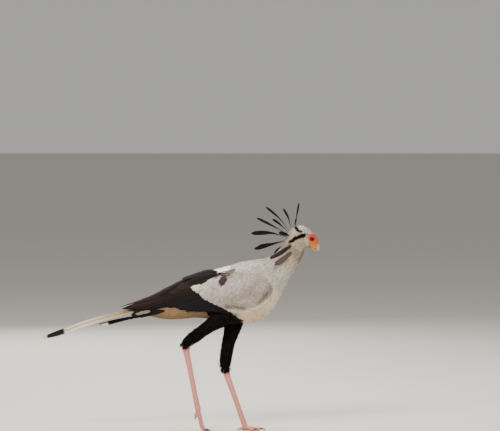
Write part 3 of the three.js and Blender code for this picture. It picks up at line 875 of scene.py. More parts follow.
# Roots spread evenly over some triangles of the skin, no two nearer than the gap wanted there
def scatter(tris, sizes, tries):
    corners = surface.points[tris]
    a = corners[:, 1] - corners[:, 0]
    b = corners[:, 2] - corners[:, 0]
    area = np.linalg.norm(np.cross(a, b), axis=1)
    pick = rng.choice(len(tris), tries, p=area / area.sum())
    s, t = rng.random(tries), rng.random(tries)
    over = s + t > 1
    s[over], t[over] = 1 - s[over], 1 - t[over]
    places = corners[pick, 0] + s[:, None] * a[pick] + t[:, None] * b[pick]
    gaps = sizes(places)[2]
    tree = KDTree(tries)
    for i, p in enumerate(places.tolist()):
        tree.insert(p, i)
    tree.balance()
    free = np.ones(tries, dtype=bool)
    kept = []
    for i in range(tries):
        if free[i]:
            kept.append(i)
            for _, j, _ in tree.find_range(places[i], gaps[i]):
                free[j] = False
    return places[kept]


# Paths on the skin that follow the lie, with the surface normals along them
def tracePaths(roots, lie, lengths, rows, yaw):
    places, normals = surface.nearest(roots)
    spots, ups = [places], [normals]
    way = flat(lie(places), normals)
    turn = np.cross(normals, way)
    way = unit(way * np.cos(yaw)[:, None] + turn * np.sin(yaw)[:, None])
    for _ in range(rows - 1):
        places, normals = surface.nearest(places + way * (lengths / (rows - 1))[:, None])
        way = flat(unit(0.8 * way + 0.2 * lie(places)), normals)
        spots.append(places)
        ups.append(normals)
    return eased(np.stack(spots, axis=1), 2), eased(np.stack(ups, axis=1), 2, asWays=True)


# Faces of one shell: rings of points, then a root point and a tip point. Also their places on a patch
def shellFaces(rows, around):
    ring = np.arange(around)
    turn = np.stack([ring, ring + 1, ring + 1, ring], axis=1)
    row = np.arange(rows - 1)[:, None, None] + np.array([0, 0, 1, 1])
    quads = (row * around + turn % around).reshape(-1, 4)
    quadPatch = np.stack(np.broadcast_arrays(turn / around, 0.12 + 0.76 * row / (rows - 1)), axis=-1)
    after = (ring + 1) % around
    last = (rows - 1) * around
    one = np.ones(around)
    root = np.stack([one * rows * around, after, ring], axis=1)
    tip = np.stack([one * rows * around + 1, last + ring, last + after], axis=1)
    ends = np.concatenate([root, tip]).astype(int)
    left, middle, right = ring / around, (ring + 0.5) / around, (ring + 1) / around
    endPatch = np.concatenate([np.stack([middle, 0 * one, right, 0.12 * one, left, 0.12 * one], axis=1),
                               np.stack([middle, one, left, 0.88 * one, right, 0.88 * one], axis=1)])
    return quads, ends, quadPatch.reshape(-1, 4, 2) - 0.5, endPatch.reshape(-1, 3, 2) - 0.5


# Joins many thin closed vanes to one mesh. All arrays start with feather, then row
def vaneMesh(name, centres, ups, halves, thickness, colours, homes, material, across=3, cup=0.2, patch=0.003):
    count, rows = centres.shape[:2]
    ways = np.gradient(centres, axis=1)
    sideways = unit(np.cross(ups, ways))
    share = np.linspace(-1, 1, across)
    around = 2 * across - 2
    top = np.concatenate([share, share[-2:0:-1]])
    isTop = np.arange(around) < across
    half = np.where(top[None, None, :] < 0, halves[..., 0:1], halves[..., 1:2])
    body = thickness[..., None] * (1 - top ** 2)
    lift = -np.abs(top) ** 1.7 * half * cup + np.where(isTop, body, -0.5 * body)
    points = (centres[:, :, None] + sideways[:, :, None] * (top * half)[..., None]
              + ups[:, :, None] * lift[..., None])
    root = centres[:, 0] - unit(ways[:, 0]) * 0.0006
    tip = centres[:, -1] + unit(ways[:, -1]) * (0.35 * halves[:, -1].sum(axis=1) + 0.0003)[:, None]
    tint = colours if colours.ndim == 4 else np.broadcast_to(colours[:, :, None], (count, rows, around, 3))
    return shellMesh(name, points, root, tip, tint, homes, material, patch, [0, across - 1], (top + 1) / 2)


# Closed shells from rings of points with a point at both ends. Rims are the columns whose edges stay crisp
def shellMesh(name, points, root, tip, tint, homes, material, patch, rims=(), columns=None):
    count, rows, around = points.shape[:3]
    whole = np.concatenate([points.reshape(count, -1, 3), root[:, None], tip[:, None]], axis=1)
    quads, ends, quadPatch, endPatch = shellFaces(rows, around)
    first = whole[0] - whole[0].mean(axis=0)
    fans = (first[quads[:, [0, 1, 2]]], first[quads[:, [0, 2, 3]]], first[ends])
    if sum((fan[:, 0] * np.cross(fan[:, 1], fan[:, 2])).sum() for fan in fans) < 0:  # turns faces outward
        quads, ends, quadPatch, endPatch = (table[:, ::-1] for table in (quads, ends, quadPatch, endPatch))
    size = rows * around + 2
    starts = np.arange(count)[:, None, None] * size
    piece = finishMesh(name, whole.reshape(-1, 3), (quads[None] + starts).reshape(-1, 4),
                       (ends[None] + starts).reshape(-1, 3), material)
    mesh = piece.data
    if len(rims):
        place = meshEdges(mesh) % size
        spot = np.where(place < rows * around, place % around, -1)
        rim = np.isin(spot, rims)
        crisp = rim[:, 0] & rim[:, 1] & (spot[:, 0] == spot[:, 1])
        crisp |= rim.any(axis=1) & (spot < 0).any(axis=1)
        mesh.attributes.new("sharp_edge", "BOOLEAN", "EDGE").data.foreach_set("value", crisp)
    tints = np.concatenate([tint.reshape(count, -1, 3), tint[:, :1, 0], tint[:, -1:, 0]], axis=1)
    paint(mesh, tints.reshape(-1, 3))
    columns = np.arange(around) / around if columns is None else columns
    vane = np.stack(np.meshgrid(columns, np.linspace(0, 1, rows)), axis=-1).reshape(-1, 2)
    vane = np.concatenate([vane, [(0.5, 0.0), (0.5, 1.0)]])
    addUv(mesh, "vane", np.concatenate([np.tile(vane[f].reshape(-1, 2), (count, 1)) for f in (quads, ends)]))
    places = [(homes[:, None, None] + p[None] * patch).reshape(-1, 2) for p in (quadPatch, endPatch)]
    addUv(mesh, "OFBake", np.concatenate(places))
    return piece


# Places of the roots on an unrolled skin: along a line, and round it
def unrolled(points, line):
    share, offset, tangent = alongLine(points, line)
    side = unit(np.cross(tangent, np.array((0.0, 1.0, 0.0))))
    across = np.cross(tangent, side)
    angle = np.arctan2((offset * across).sum(axis=1), (offset * side).sum(axis=1))
    places = np.stack([share, angle], axis=1)
    low, high = places.min(axis=0), places.max(axis=0)
    return 0.01 + 0.98 * (places - low) / (high - low)


# Coat: many small feathers in shingled layers, each tip lying on the roots of the next


# Colours of whole feathers, shaded along the rows and across the ring
def shaded(colour, along, ring):
    return colour[:, None, None] * (along[:, None] * ring)[None, :, :, None]


def vaneShape(s, blunt):
    outer = np.clip((s - blunt) / (1 - blunt), 0, 1)
    return np.minimum(1.0, 0.35 + 1.5 * s) * np.maximum(1 - outer ** 2.2, 0.03) ** 0.62


# Rows closer together towards the tip, so it comes out round
def tipSteps(rows):
    return 1 - (1 - np.linspace(0, 1, rows)) ** 1.55


def resampled(values, steps):
    rows = values.shape[1]
    at = steps * (rows - 1)
    low = np.minimum(at.astype(int), rows - 2)
    t = (at - low)[None, :, None]
    return values[:, low] * (1 - t) + values[:, low + 1] * t


# Parts the roots lie on, parts the tips may lie over, then how the feathers are shaped and laid
coatPlans = {
    "head": {"slot": "white_feather", "parts": ["head"], "over": ["head", "neck_upper"], "tries": 120000,
             "rows": 5, "blunt": 0.3, "thick": 0.00014, "yaw": 0.15, "contrast": 0.13, "cleft": 0.1,
             "across": 3, "hang": 0.0, "grain": 0.52, "loft": 1.0, "halved": True},
    "neck": {"slot": "grey_feather", "parts": ["neck_lower", "neck_upper"], "over": ["neck", "trunk", "wing"],
             "tries": 110000, "rows": 6, "blunt": 0.28, "thick": 0.0002, "yaw": 0.14, "contrast": 0.17,
             "cleft": 0.12, "across": 3, "hang": 0.0, "grain": 0.58, "loft": 1.05, "halved": True},
    "body": {"slot": "white_feather", "parts": ["trunk", "rump"],
             "over": ["trunk", "rump", "neck", "wing_left_coverts", "wing_right_coverts"], "tries": 80000,
             "rows": 6, "blunt": 0.45, "thick": 0.0003, "yaw": 0.12, "contrast": 0.08, "cleft": 0.2,
             "across": 3, "hang": 0.25, "grain": 0.7, "loft": 1.05},
    "wing": {"slot": "grey_feather", "parts": ["wing_SIDE_coverts"],
             "over": ["wing_SIDE_coverts", "trunk", "thigh"], "tries": 60000, "rows": 6, "blunt": 0.55,
             "thick": 0.0003, "yaw": 0.08, "contrast": 0.09, "cleft": 0.1, "across": 5, "hang": 0.0,
             "grain": 0.86, "loft": 1.0},
    "thigh": {"slot": "black_feather", "parts": ["thigh_SIDE"], "over": ["thigh_SIDE", "shank_SIDE"],
              "tries": 40000, "rows": 6, "blunt": 0.4, "thick": 0.0003, "yaw": 0.14, "contrast": 0.35,
              "cleft": 0.15, "across": 3, "hang": 0.3, "grain": 0.74, "loft": 1.9},
}
rootDip = 0.0003  # the roots start a little under the skin
ankleFlare = 0.0052
# Tints round a vane with three or five points across: over the top, then back underneath
rimShades = {3: (1.06, 0.96, 1.06, 0.9), 5: (1.1, 1.0, 0.93, 1.0, 1.1, 0.9, 0.9, 0.9)}


# The lie of one coat and its feather sizes, both as functions of places
def coatRules(kind, side, grain):
    if kind == "wing":
        return wingLie, lambda points: sizesAt(points, wingSizes, 0.045, grain)
    if kind != "thigh":
        return bodyLie, lambda points: sizesAt(points, featherSizes, 0.03, grain)
    line = legLines[side]

    def legSizes(points):
        fine = 1 - smoothStep(np.linalg.norm(points - line[2], axis=1), 0.02, 0.2)
        return 0.03 - 0.012 * fine, 0.0036 - 0.0014 * fine, (0.0046 - 0.0012 * fine) * grain
    return lambda points: lieAlong(points, line, 0.03), legSizes


def partsAt(points):
    return skinPart[surface.nearestPoint(points)]


def makeCoat(kind, side, plan):
    name = f"coat_{kind}_{side}" if side else f"coat_{kind}"
    parts = [part.replace("SIDE", side) for part in plan["parts"]]
    tri = surface.tris
    middles = surface.points[tri].mean(axis=1)
    use = np.isin(skinPart[tri[:, 0]], parts)
    if "halved" in plan:
        use &= middles[:, 1] * sides[side] > 0
    if kind == "head":
        use &= barePart(middles) < 0.45
    if kind == "wing":
        use &= ~inDarkField(middles[:, [0, 2]])
    lie, sizes = coatRules(kind, side, plan["grain"])
    roots = scatter(tri[use], sizes, plan["tries"])
    rows = plan["rows"]
    lengths, widths, _ = sizes(roots)
    lengths = lengths * rng.uniform(0.82, 1.18, len(roots))
    widths = widths * rng.uniform(0.8, 1.2, len(roots))
    yaw = rng.normal(0, plan["yaw"], len(roots))
    spots, _ = tracePaths(roots, lie, lengths, rows, yaw)
    where = partsAt(spots)
    inside = np.zeros(where.shape, dtype=bool)
    for start in plan["over"]:
        inside |= np.char.startswith(where, start.replace("SIDE", side))
    if kind == "wing":
        inside &= ~inDarkField(spots.reshape(-1, 3)[:, [0, 2]]).reshape(inside.shape)
    share = np.where(inside.all(axis=1), rows - 1, np.argmin(inside, axis=1) - 0.4) / (rows - 1)
    share = np.minimum(share + plan["hang"], 1)
    kept = share > 0.35
    roots, lengths, widths, yaw = roots[kept], (lengths * share)[kept], widths[kept], yaw[kept]
    widths *= np.clip(0.5 + 0.5 * share[kept], 0.7, 1)
    spots, ups = tracePaths(roots, lie, lengths, rows, yaw)
    s = tipSteps(rows)
    spots, ups = resampled(spots, s), unit(resampled(ups, s))
    count = len(roots)
    depth = eased(skinDepth[surface.nearestPoint(spots)], 2)
    rise = 1 - (1 - s) ** 1.7
    jitter = rng.uniform(0.84, 1.1, count)[:, None]
    height = -rootDip + (depth[:, :1] + depth) * 0.5 * plan["loft"] * rise * jitter
    line = spineLine
    if kind == "thigh":  # flares out above the ankle
        line = legLines[side]
        far = np.linalg.norm(spots - line[2], axis=2)
        height = height + ankleFlare * rise * (1 - smoothStep(far, 0.03, 0.11))
    centres = spots + ups * height[..., None]
    halves = widths[:, None, None] * vaneShape(s, plan["blunt"])[None, :, None]
    halves = halves * rng.uniform(0.92, 1.08, (count, 1, 2))
    notch = (rng.random((count, rows, 2)) < plan["cleft"]) & ((s > 0.45) & (s < 0.95))[None, :, None]
    halves = np.where(notch, halves * rng.uniform(0.6, 0.85, (count, rows, 2)), halves)
    thickness = plan["thick"] * (1.2 - 0.7 * s)[None] * np.ones((count, 1))
    seen = centres[:, -2]
    where = partsAt(seen)
    where[~np.isin(where, parts)] = parts[0]
    colour = plumage(seen, where) * (1 + rng.normal(0, plan["contrast"], count))[:, None].clip(0.5, 1.5)
    # darker towards the root, as painted shade where each feather lies under the next
    colours = shaded(colour, 0.76 + 0.28 * smoothStep(s, 0.25, 0.9), np.array(rimShades[plan["across"]]))
    owned(vaneMesh(name, centres, ups, halves, thickness, colours, unrolled(roots, line), featherMaterial,
                   across=plan["across"]), plan["slot"])
    print(name, count, "feathers")


for coatKind, coatPlan in coatPlans.items():
    for coatSide in ("",) if coatKind == "body" else sides:
        makeCoat(coatKind, coatSide, coatPlan)


# Long feathers: flights, tail and crest. Each is one closed vane with a shaft and a notched edge


def noisyEdge(count, rows, amount, splits):
    edge = 1 + amount * rng.normal(0, 1, (count, rows, 2)).clip(-2, 2)
    for _ in range(splits):
        at = rng.integers(rows // 3, rows - 2, count)
        side = rng.integers(0, 2, count)
        edge[np.arange(count), at, side] *= rng.uniform(0.62, 0.85, count)
    return edge


def cells(count):
    across = math.ceil(math.sqrt(count))
    index = np.arange(count)
    return (np.stack([index % across, index // across], axis=1) + 0.5) / across, 0.94 / across


def longFeathers(name, slot, centres, ups, halves, colours, thick, nodes=(), *, cup, edge=0.03, splits=2):
    count, rows = centres.shape[:2]
    halves = halves * noisyEdge(count, rows, edge, splits)
    thickness = np.broadcast_to(thick * (1.25 - np.linspace(0, 1, rows)), (count, rows))
    homes, patch = cells(count)
    owned(vaneMesh(name, centres, ups, halves, thickness, colours, homes, bladeMaterial, across=7, cup=cup,
                   patch=patch), slot, *nodes)
    print(name, count, "feathers")


# Tints across a long vane: edge, two steps in, shaft, then the edge and middle of the underside
def vaneRing(edge, outer, inner, shaft, underEdge, under):
    return np.array([edge, outer, inner, shaft, inner, outer, edge, underEdge, *[under] * 3, underEdge])


bladeRing = vaneRing(1.7, 1.05, 0.9, 1.4, 0.7, 0.6)
# covertRing: darker edges, partly the feathers' own dark edges and partly painted shadow between them
covertRing = vaneRing(0.72, 1.02, 1.0, 0.86, 0.8, 0.8)
tailRing = vaneRing(1.0, 1.0, 0.95, 0.9, 0.9, 0.85)
streamerRing = vaneRing(1.05, 1.0, 0.86, 0.58, 0.9, 0.85)
plumeRing = vaneRing(1.2, 1.0, 0.9, 1.3, 0.9, 0.8)


# One entry of every row of a table
def column(table, index):
    return np.array([row[index] for row in table])


# Half widths that grow out of the root and close round the tip
def bladeHalves(wide, s, start, grow, tipAt, power, depth):
    shape = np.minimum(1, start + grow * s) * (1 - np.maximum(0, (s - tipAt) / (1 - tipAt)) ** power * depth)
    return wide[:, None, None] * shape[None, :, None] * np.ones((1, 1, 2))


def lifted(spots, ups, low, high, s):
    return spots + ups * (low[:, None] + (high - low)[:, None] * s ** 0.8)[..., None]


flightRows = [  # root (x, z), tip (x, z), half width, lift at root and tip, bow, colour
    # lower set, blue black, the lowest first
    ((0.212, 0.566), (0.15, 0.546), 0.009, 0.001, 0.0016, 0.001, "blue"),
    ((0.236, 0.572), (0.18, 0.546), 0.009, 0.0011, 0.0017, 0.001, "blue"),
    ((0.262, 0.575), (0.208, 0.545), 0.009, 0.0012, 0.0018, 0.001, "blue"),
    ((0.235, 0.59), (0.185, 0.56), 0.01, 0.0014, 0.0022, 0.002, "blue"),
    ((0.225, 0.6), (0.145, 0.556), 0.012, 0.0012, 0.002, 0.003, "blue"),
    ((0.205, 0.608), (0.1, 0.554), 0.013, 0.0013, 0.0022, 0.004, "blue"),
    ((0.185, 0.616), (0.06, 0.552), 0.014, 0.0014, 0.0025, 0.004, "blue"),
    ((0.165, 0.624), (0.022, 0.555), 0.015, 0.0016, 0.0028, 0.005, "blue"),
    ((0.145, 0.632), (-0.018, 0.564), 0.015, 0.0018, 0.0031, 0.005, "blue"),
    ((0.125, 0.64), (-0.062, 0.571), 0.015, 0.002, 0.0034, 0.005, "blue"),
    ((0.105, 0.646), (-0.105, 0.568), 0.015, 0.0022, 0.0037, 0.005, "blue"),
    ((0.09, 0.652), (-0.15, 0.561), 0.014, 0.0024, 0.004, 0.005, "blue"),
    # upper set, brown black, the lowest first
    ((0.08, 0.655), (-0.205, 0.566), 0.014, 0.003, 0.0046, 0.006, "brown"),
    ((0.085, 0.664), (-0.252, 0.567), 0.013, 0.0034, 0.005, 0.006, "brown"),
    ((0.09, 0.672), (-0.283, 0.572), 0.013, 0.0038, 0.0053, 0.006, "brown"),
    ((0.095, 0.68), (-0.225, 0.587), 0.014, 0.0042, 0.0057, 0.005, "brown"),
    ((0.102, 0.688), (-0.163, 0.61), 0.015, 0.0046, 0.0061, 0.005, "brown"),
    ((0.11, 0.694), (-0.118, 0.626), 0.016, 0.005, 0.0065, 0.005, "brown"),
    ((0.118, 0.7), (-0.06, 0.636), 0.017, 0.0054, 0.007, 0.005, "warm"),
    ((0.126, 0.706), (-0.012, 0.662), 0.018, 0.0058, 0.0075, 0.004, "dark"),
    ((0.136, 0.713), (0.01, 0.688), 0.018, 0.0062, 0.008, 0.004, "dark"),
    ((0.148, 0.722), (0.05, 0.706), 0.018, 0.0066, 0.0085, 0.004, "dark"),
    ((0.16, 0.732), (0.084, 0.722), 0.017, 0.0068, 0.009, 0.003, "dark"),
]
flightColours = {"blue": (0.0135, 0.012, 0.0145), "brown": (0.026, 0.015, 0.0125),
                 "warm": (0.032, 0.019, 0.015), "dark": (0.012, 0.0095, 0.009)}


# Tints of the dark feathers, each a little lighter or darker than the next, and darker towards the root as
# painted shade
def darkTints(table, index, s):
    colour = np.array([flightColours[row[index]] for row in table])
    return shaded(colour * rng.uniform(0.85, 1.15, (len(table), 1)), 0.85 + 0.25 * s, bladeRing)


# Lays long feathers between side view places over the skin, lifted clear of the coat
def layOnSkin(out, table, rows):
    s = np.linspace(0, 1, rows)
    count = len(table)
    root = column(table, 0) + rng.normal(0, 0.001, (count, 2))
    way = column(table, 1) + rng.normal(0, 0.0014, (count, 2)) - root
    normal = np.stack([way[:, 1], -way[:, 0]], axis=1) / np.linalg.norm(way, axis=1)[:, None]
    bow = column(table, 5)[:, None] * np.sin(np.pi * s)
    plane = root[:, None] + way[:, None] * s[None, :, None] + normal[:, None] * bow[..., None]
    spots, ups = np.empty((2, count, rows, 3))
    guess = np.full(count, 0.13 * out)
    for r in range(rows):
        for _ in range(3):
            asked = np.stack([plane[:, r, 0], guess, plane[:, r, 1]], axis=1)
            spots[:, r], ups[:, r] = surface.nearest(asked)
            guess = spots[:, r, 1]
        guess = guess + 0.004 * out
    spots, ups = eased(spots, 6), eased(ups, 6, asWays=True)
    spots[..., [0, 2]] = 0.35 * spots[..., [0, 2]] + 0.65 * plane
    return lifted(spots, ups, column(table, 3), column(table, 4), s), ups


def makeFlights(side, out):
    rows = 48
    s = np.linspace(0, 1, rows)
    centres, ups = layOnSkin(out, flightRows, rows)
    halves = bladeHalves(column(flightRows, 2), s, 0.45, 2.2, 0.8, 2.4, 0.8) * (1.0, 0.92)
    longFeathers("flight_" + side, "black_feather", centres, ups, halves, darkTints(flightRows, 6, s), 0.0008,
                 cup=0.14, edge=0.012)


# Larger coverts that make the marks of the wing: dark ones on the shoulder, pale ones at the rear
markRows = [
    ((0.232, 0.748), (0.098, 0.7), 0.0085, 0.0012, 0.0062, 0.002, (0.014, 0.011, 0.011)),
    ((0.245, 0.752), (0.125, 0.708), 0.008, 0.0012, 0.0066, 0.002, (0.016, 0.012, 0.012)),
    ((0.238, 0.728), (0.19, 0.708), 0.005, 0.0012, 0.006, 0.001, (0.15, 0.11, 0.09)),
    ((0.226, 0.726), (0.181, 0.679), 0.0085, 0.0014, 0.008, 0.001, (0.066, 0.046, 0.044)),
    ((0.216, 0.726), (0.17, 0.69), 0.0085, 0.0014, 0.0086, 0.001, (0.078, 0.054, 0.05)),
    ((0.222, 0.732), (0.178, 0.702), 0.007, 0.0014, 0.009, 0.001, (0.072, 0.05, 0.048)),
    # rear edge, the lowest first
    ((0.285, 0.602), (0.212, 0.572), 0.0095, 0.001, 0.005, 0.002, (0.3, 0.27, 0.245)),
    ((0.268, 0.612), (0.192, 0.581), 0.01, 0.001, 0.0052, 0.002, (0.36, 0.33, 0.3)),
    ((0.25, 0.62), (0.172, 0.59), 0.01, 0.001, 0.0054, 0.002, (0.38, 0.35, 0.32)),
    ((0.23, 0.63), (0.152, 0.6), 0.01, 0.001, 0.0056, 0.002, (0.4, 0.365, 0.33)),
    ((0.212, 0.64), (0.133, 0.609), 0.01, 0.001, 0.0058, 0.002, (0.4, 0.365, 0.33)),
    ((0.195, 0.648), (0.114, 0.618), 0.01, 0.001, 0.006, 0.002, (0.42, 0.385, 0.35)),
    ((0.178, 0.658), (0.097, 0.627), 0.01, 0.001, 0.0062, 0.002, (0.46, 0.43, 0.39)),
    ((0.165, 0.668), (0.081, 0.636), 0.01, 0.001, 0.0064, 0.002, (0.54, 0.51, 0.47)),
    ((0.155, 0.676), (0.066, 0.646), 0.0095, 0.001, 0.0066, 0.002, (0.4, 0.375, 0.35)),
    ((0.15, 0.684), (0.054, 0.655), 0.009, 0.001, 0.0068, 0.003, (0.6, 0.575, 0.53)),
    ((0.148, 0.692), (0.045, 0.665), 0.008, 0.001, 0.007, 0.003, (0.62, 0.6, 0.55)),
]


def makeMarks(side, out):
    rows = 24
    s = tipSteps(rows)
    centres, ups = layOnSkin(out, markRows, rows)
    centres, ups = resampled(centres, s), unit(resampled(ups, s))
    halves = column(markRows, 2)[:, None, None] * vaneShape(s, 0.72)[None, :, None] * np.ones((1, 1, 2))
    colour = column(markRows, 6) * rng.uniform(0.95, 1.05, (len(markRows), 1))
    # darker towards the root, as painted shade
    longFeathers("coverts_" + side, "grey_feather", centres, ups, halves,
                 shaded(colour, 0.88 + 0.14 * s, covertRing), 0.0005, cup=0.16, edge=0.02)


# Long dark feathers over the back between the wings, the rearmost and lowest first
backRows = [  # root (x, y), tip (x, y), half width, lift at root and tip, colour
    ((-0.09, 0.005), (-0.232, 0.003), 0.01, 0.003, 0.0058, "brown"),
    ((-0.06, 0.018), (-0.2, 0.012), 0.011, 0.0034, 0.0066, "dark"),
    ((-0.03, 0.028), (-0.158, 0.023), 0.0115, 0.0044, 0.0078, "brown"),
    ((-0.03, 0.006), (-0.16, 0.006), 0.0125, 0.0036, 0.007, "dark"),
    ((0.0, 0.02), (-0.125, 0.018), 0.013, 0.0044, 0.0078, "brown"),
    ((0.02, 0.036), (-0.095, 0.033), 0.013, 0.0056, 0.009, "dark"),
    ((0.03, 0.007), (-0.092, 0.006), 0.0135, 0.0042, 0.0078, "warm"),
    ((0.055, 0.024), (-0.055, 0.023), 0.014, 0.0052, 0.0088, "dark"),
    ((0.07, 0.042), (-0.025, 0.042), 0.0135, 0.0066, 0.01, "warm"),
    ((0.08, 0.008), (-0.028, 0.007), 0.014, 0.0046, 0.0084, "brown"),
    ((0.1, 0.024), (0.006, 0.022), 0.0145, 0.0056, 0.015, "dark"),
    ((0.115, 0.046), (0.04, 0.047), 0.013, 0.007, 0.0104, "dark"),
    ((0.12, 0.01), (0.024, 0.009), 0.014, 0.0048, 0.0135, "dark"),
    ((0.14, 0.03), (0.062, 0.032), 0.014, 0.0056, 0.0096, "dark"),
    ((0.146, 0.012), (0.07, 0.012), 0.0135, 0.005, 0.009, "dark"),
    ((0.15, 0.044), (0.085, 0.047), 0.0115, 0.006, 0.01, "dark"),
]


def makeBack():
    rows, count = 28, 2 * len(backRows)
    table = [row for row in backRows for _ in sides]
    out = np.array(list(sides.values()) * len(backRows))
    mirrored = np.stack([np.ones(count), out], axis=1)
    root = column(table, 0) * mirrored + rng.normal(0, 0.0012, (count, 2))
    tip = column(table, 1) * mirrored + rng.normal(0, 0.002, (count, 2))
    s = np.linspace(0, 1, rows)
    spots = np.zeros((count, rows, 3))
    spots[..., :2] = root[:, None] + (tip - root)[:, None] * s[None, :, None]
    for place in spots.reshape(-1, 3):
        place[:] = surface.hit((place[0], place[1], 1.0), (0, 0, -1), (place[0], place[1], 0.6))
    ups = eased(surface.nearest(spots)[1], 6, asWays=True)
    step = 0.0004 * out  # left and right cross over each other without touching
    centres = lifted(eased(spots, 6), ups, column(table, 3) + step, column(table, 4) + step, s)
    halves = bladeHalves(column(table, 2), s, 0.55, 2.2, 0.72, 2.2, 0.82)
    longFeathers("back_feathers", "black_feather", centres, ups, halves, darkTints(table, 5, s), 0.0007,
                 cup=0.14, edge=0.012)


for wingSide, outward in sides.items():
    makeFlights(wingSide, outward)
    makeMarks(wingSide, outward)
makeBack()


# Tail: two long streamers that lean out like a roof, over a fan of short feathers

streamerLine = np.array([
    (-0.1703, 0.566), (-0.2073, 0.562), (-0.2853, 0.5495), (-0.3773, 0.528), (-0.4693, 0.501),
    (-0.5423, 0.474), (-0.5923, 0.455), (-0.6393, 0.4355),
])
streamerHalf = np.array([7, 12, 18, 21, 22, 21, 20, 18, 9]) / 1000
streamerLean = 0.55
streamerColours = (0.42, 0.31, 0.195), (0.58, 0.51, 0.41), (0.016, 0.011, 0.01), (0.66, 0.56, 0.38)
streamerShadow = 0.35 * np.array([1, 0.6, 0, 0, 0, 0, 0.3, 0, 0, 0, 0, 1])  # edges darker near the body


def makeStreamer(side, out):
    rows = 64
    s = np.linspace(0, 1, rows)
    line = curveThrough(np.insert(streamerLine, 1, 0, axis=1), rows)
    wide = np.interp(s, np.linspace(0, 1, len(streamerHalf)), streamerHalf)
    eased(wide[None], 4)
    line[:, 1] = out * (wide * math.cos(streamerLean) - 0.0003)
    line[:, 2] -= wide * math.sin(streamerLean)
    line[:, 2] += 0.0015 * np.sin(7 * s + out)
    up = np.array((0.0, out * math.sin(streamerLean), math.cos(streamerLean)))
    ups = flat(up, unit(np.gradient(line, axis=0)))
    tan, pale, black, white = streamerColours
    base = mixed(tan, pale, smoothStep(s, 0.25, 0.62))
    base = mixed(base, black, smoothStep(s, 0.782, 0.796) * (1 - smoothStep(s, 0.952, 0.962)))
    base = mixed(base, white, smoothStep(s, 0.955, 0.965))
    shade = 1 - (1 - smoothStep(s, 0.3, 0.55))[:, None] * streamerShadow
    colours = base[:, None] * (streamerRing * shade)[..., None]
    halves = np.stack([wide, wide], axis=1)
    longFeathers("streamer_" + side, "tail_feather", line[None], ups[None], halves[None], colours[None],
                 0.0013, ["tail_streamer_" + side], cup=0.05, edge=0.006, splits=0)


def makeFan():
    rows, count = 30, 12
    s = np.linspace(0, 1, rows)
    y = np.linspace(-1, 1, count)
    reach = 1 - 0.13 * np.abs(y) ** 1.6
    end = np.stack([-0.168 - 0.218 * reach, 0.034 * y, 0.541 - 0.045 * reach - 0.006 * np.abs(y)], axis=1)
    start = np.stack([-0.15 + 0 * y, 0.012 * y, 0.541 + 0 * y], axis=1)
    centres = start[:, None] + (end - start)[:, None] * s[None, :, None]
    centres[..., 2] += 0.004 * np.sin(np.pi * s) - 0.003 * np.abs(y)[:, None]
    up = np.stack([0 * y, 0.25 * y, 1 + 0 * y], axis=1)[:, None]
    ups = flat(up, unit(np.gradient(centres, axis=1)))
    pale = 1 - smoothStep(centres[..., 0], -0.345, -0.338)
    colours = mixed((0.016, 0.012, 0.012), (0.72, 0.7, 0.66), pale)[:, :, None] * tailRing[:, None]
    longFeathers("tail_fan_feathers", "black_feather", centres, ups,
                 bladeHalves(np.full(count, 0.015), s, 0.4, 2, 0.9, 2.6, 0.6), colours, 0.0008, ["tail_fan"],
                 cup=0.1)


# Short feathers at both sides of the tail root: root and tip as (x, z), half width, place across, colour
rootRows = [
    ((-0.085, 0.57), (-0.232, 0.536), 0.012, (0.034, 0.022), (0.015, 0.012, 0.012)),
    ((-0.08, 0.56), (-0.205, 0.531), 0.011, (0.036, 0.024), (0.014, 0.011, 0.011)),
    ((-0.09, 0.578), (-0.222, 0.551), 0.011, (0.034, 0.024), (0.016, 0.012, 0.012)),
    ((-0.05, 0.573), (-0.15, 0.552), 0.009, (0.036, 0.03), (0.015, 0.012, 0.012)),
    ((-0.146, 0.556), (-0.213, 0.542), 0.008, (0.038, 0.027), (0.235, 0.205, 0.16)),
]


def makeTailRoot(side, out):
    rows = 22
    s = np.linspace(0, 1, rows)
    root = np.array([(r[0][0], r[3][0] * out, r[0][1]) for r in rootRows])
    tip = np.array([(r[1][0], r[3][1] * out, r[1][1]) for r in rootRows])
    centres = root[:, None] + (tip - root)[:, None] * s[None, :, None]
    ups = flat(np.array((0.0, out, 0.35)), unit(tip - root))[:, None] * np.ones((1, rows, 1))
    longFeathers("tail_root_" + side, "black_feather", centres, ups,
                 bladeHalves(column(rootRows, 2), s, 0.5, 2, 0.8, 2.4, 0.75),
                 shaded(column(rootRows, 4), np.ones(rows), tailRing), 0.0006, cup=0.15)


for tailSide, outward in sides.items():
    makeStreamer(tailSide, outward)
    makeTailRoot(tailSide, outward)
makeFan()

# Crest of loose plumes behind the head, broad towards the tip

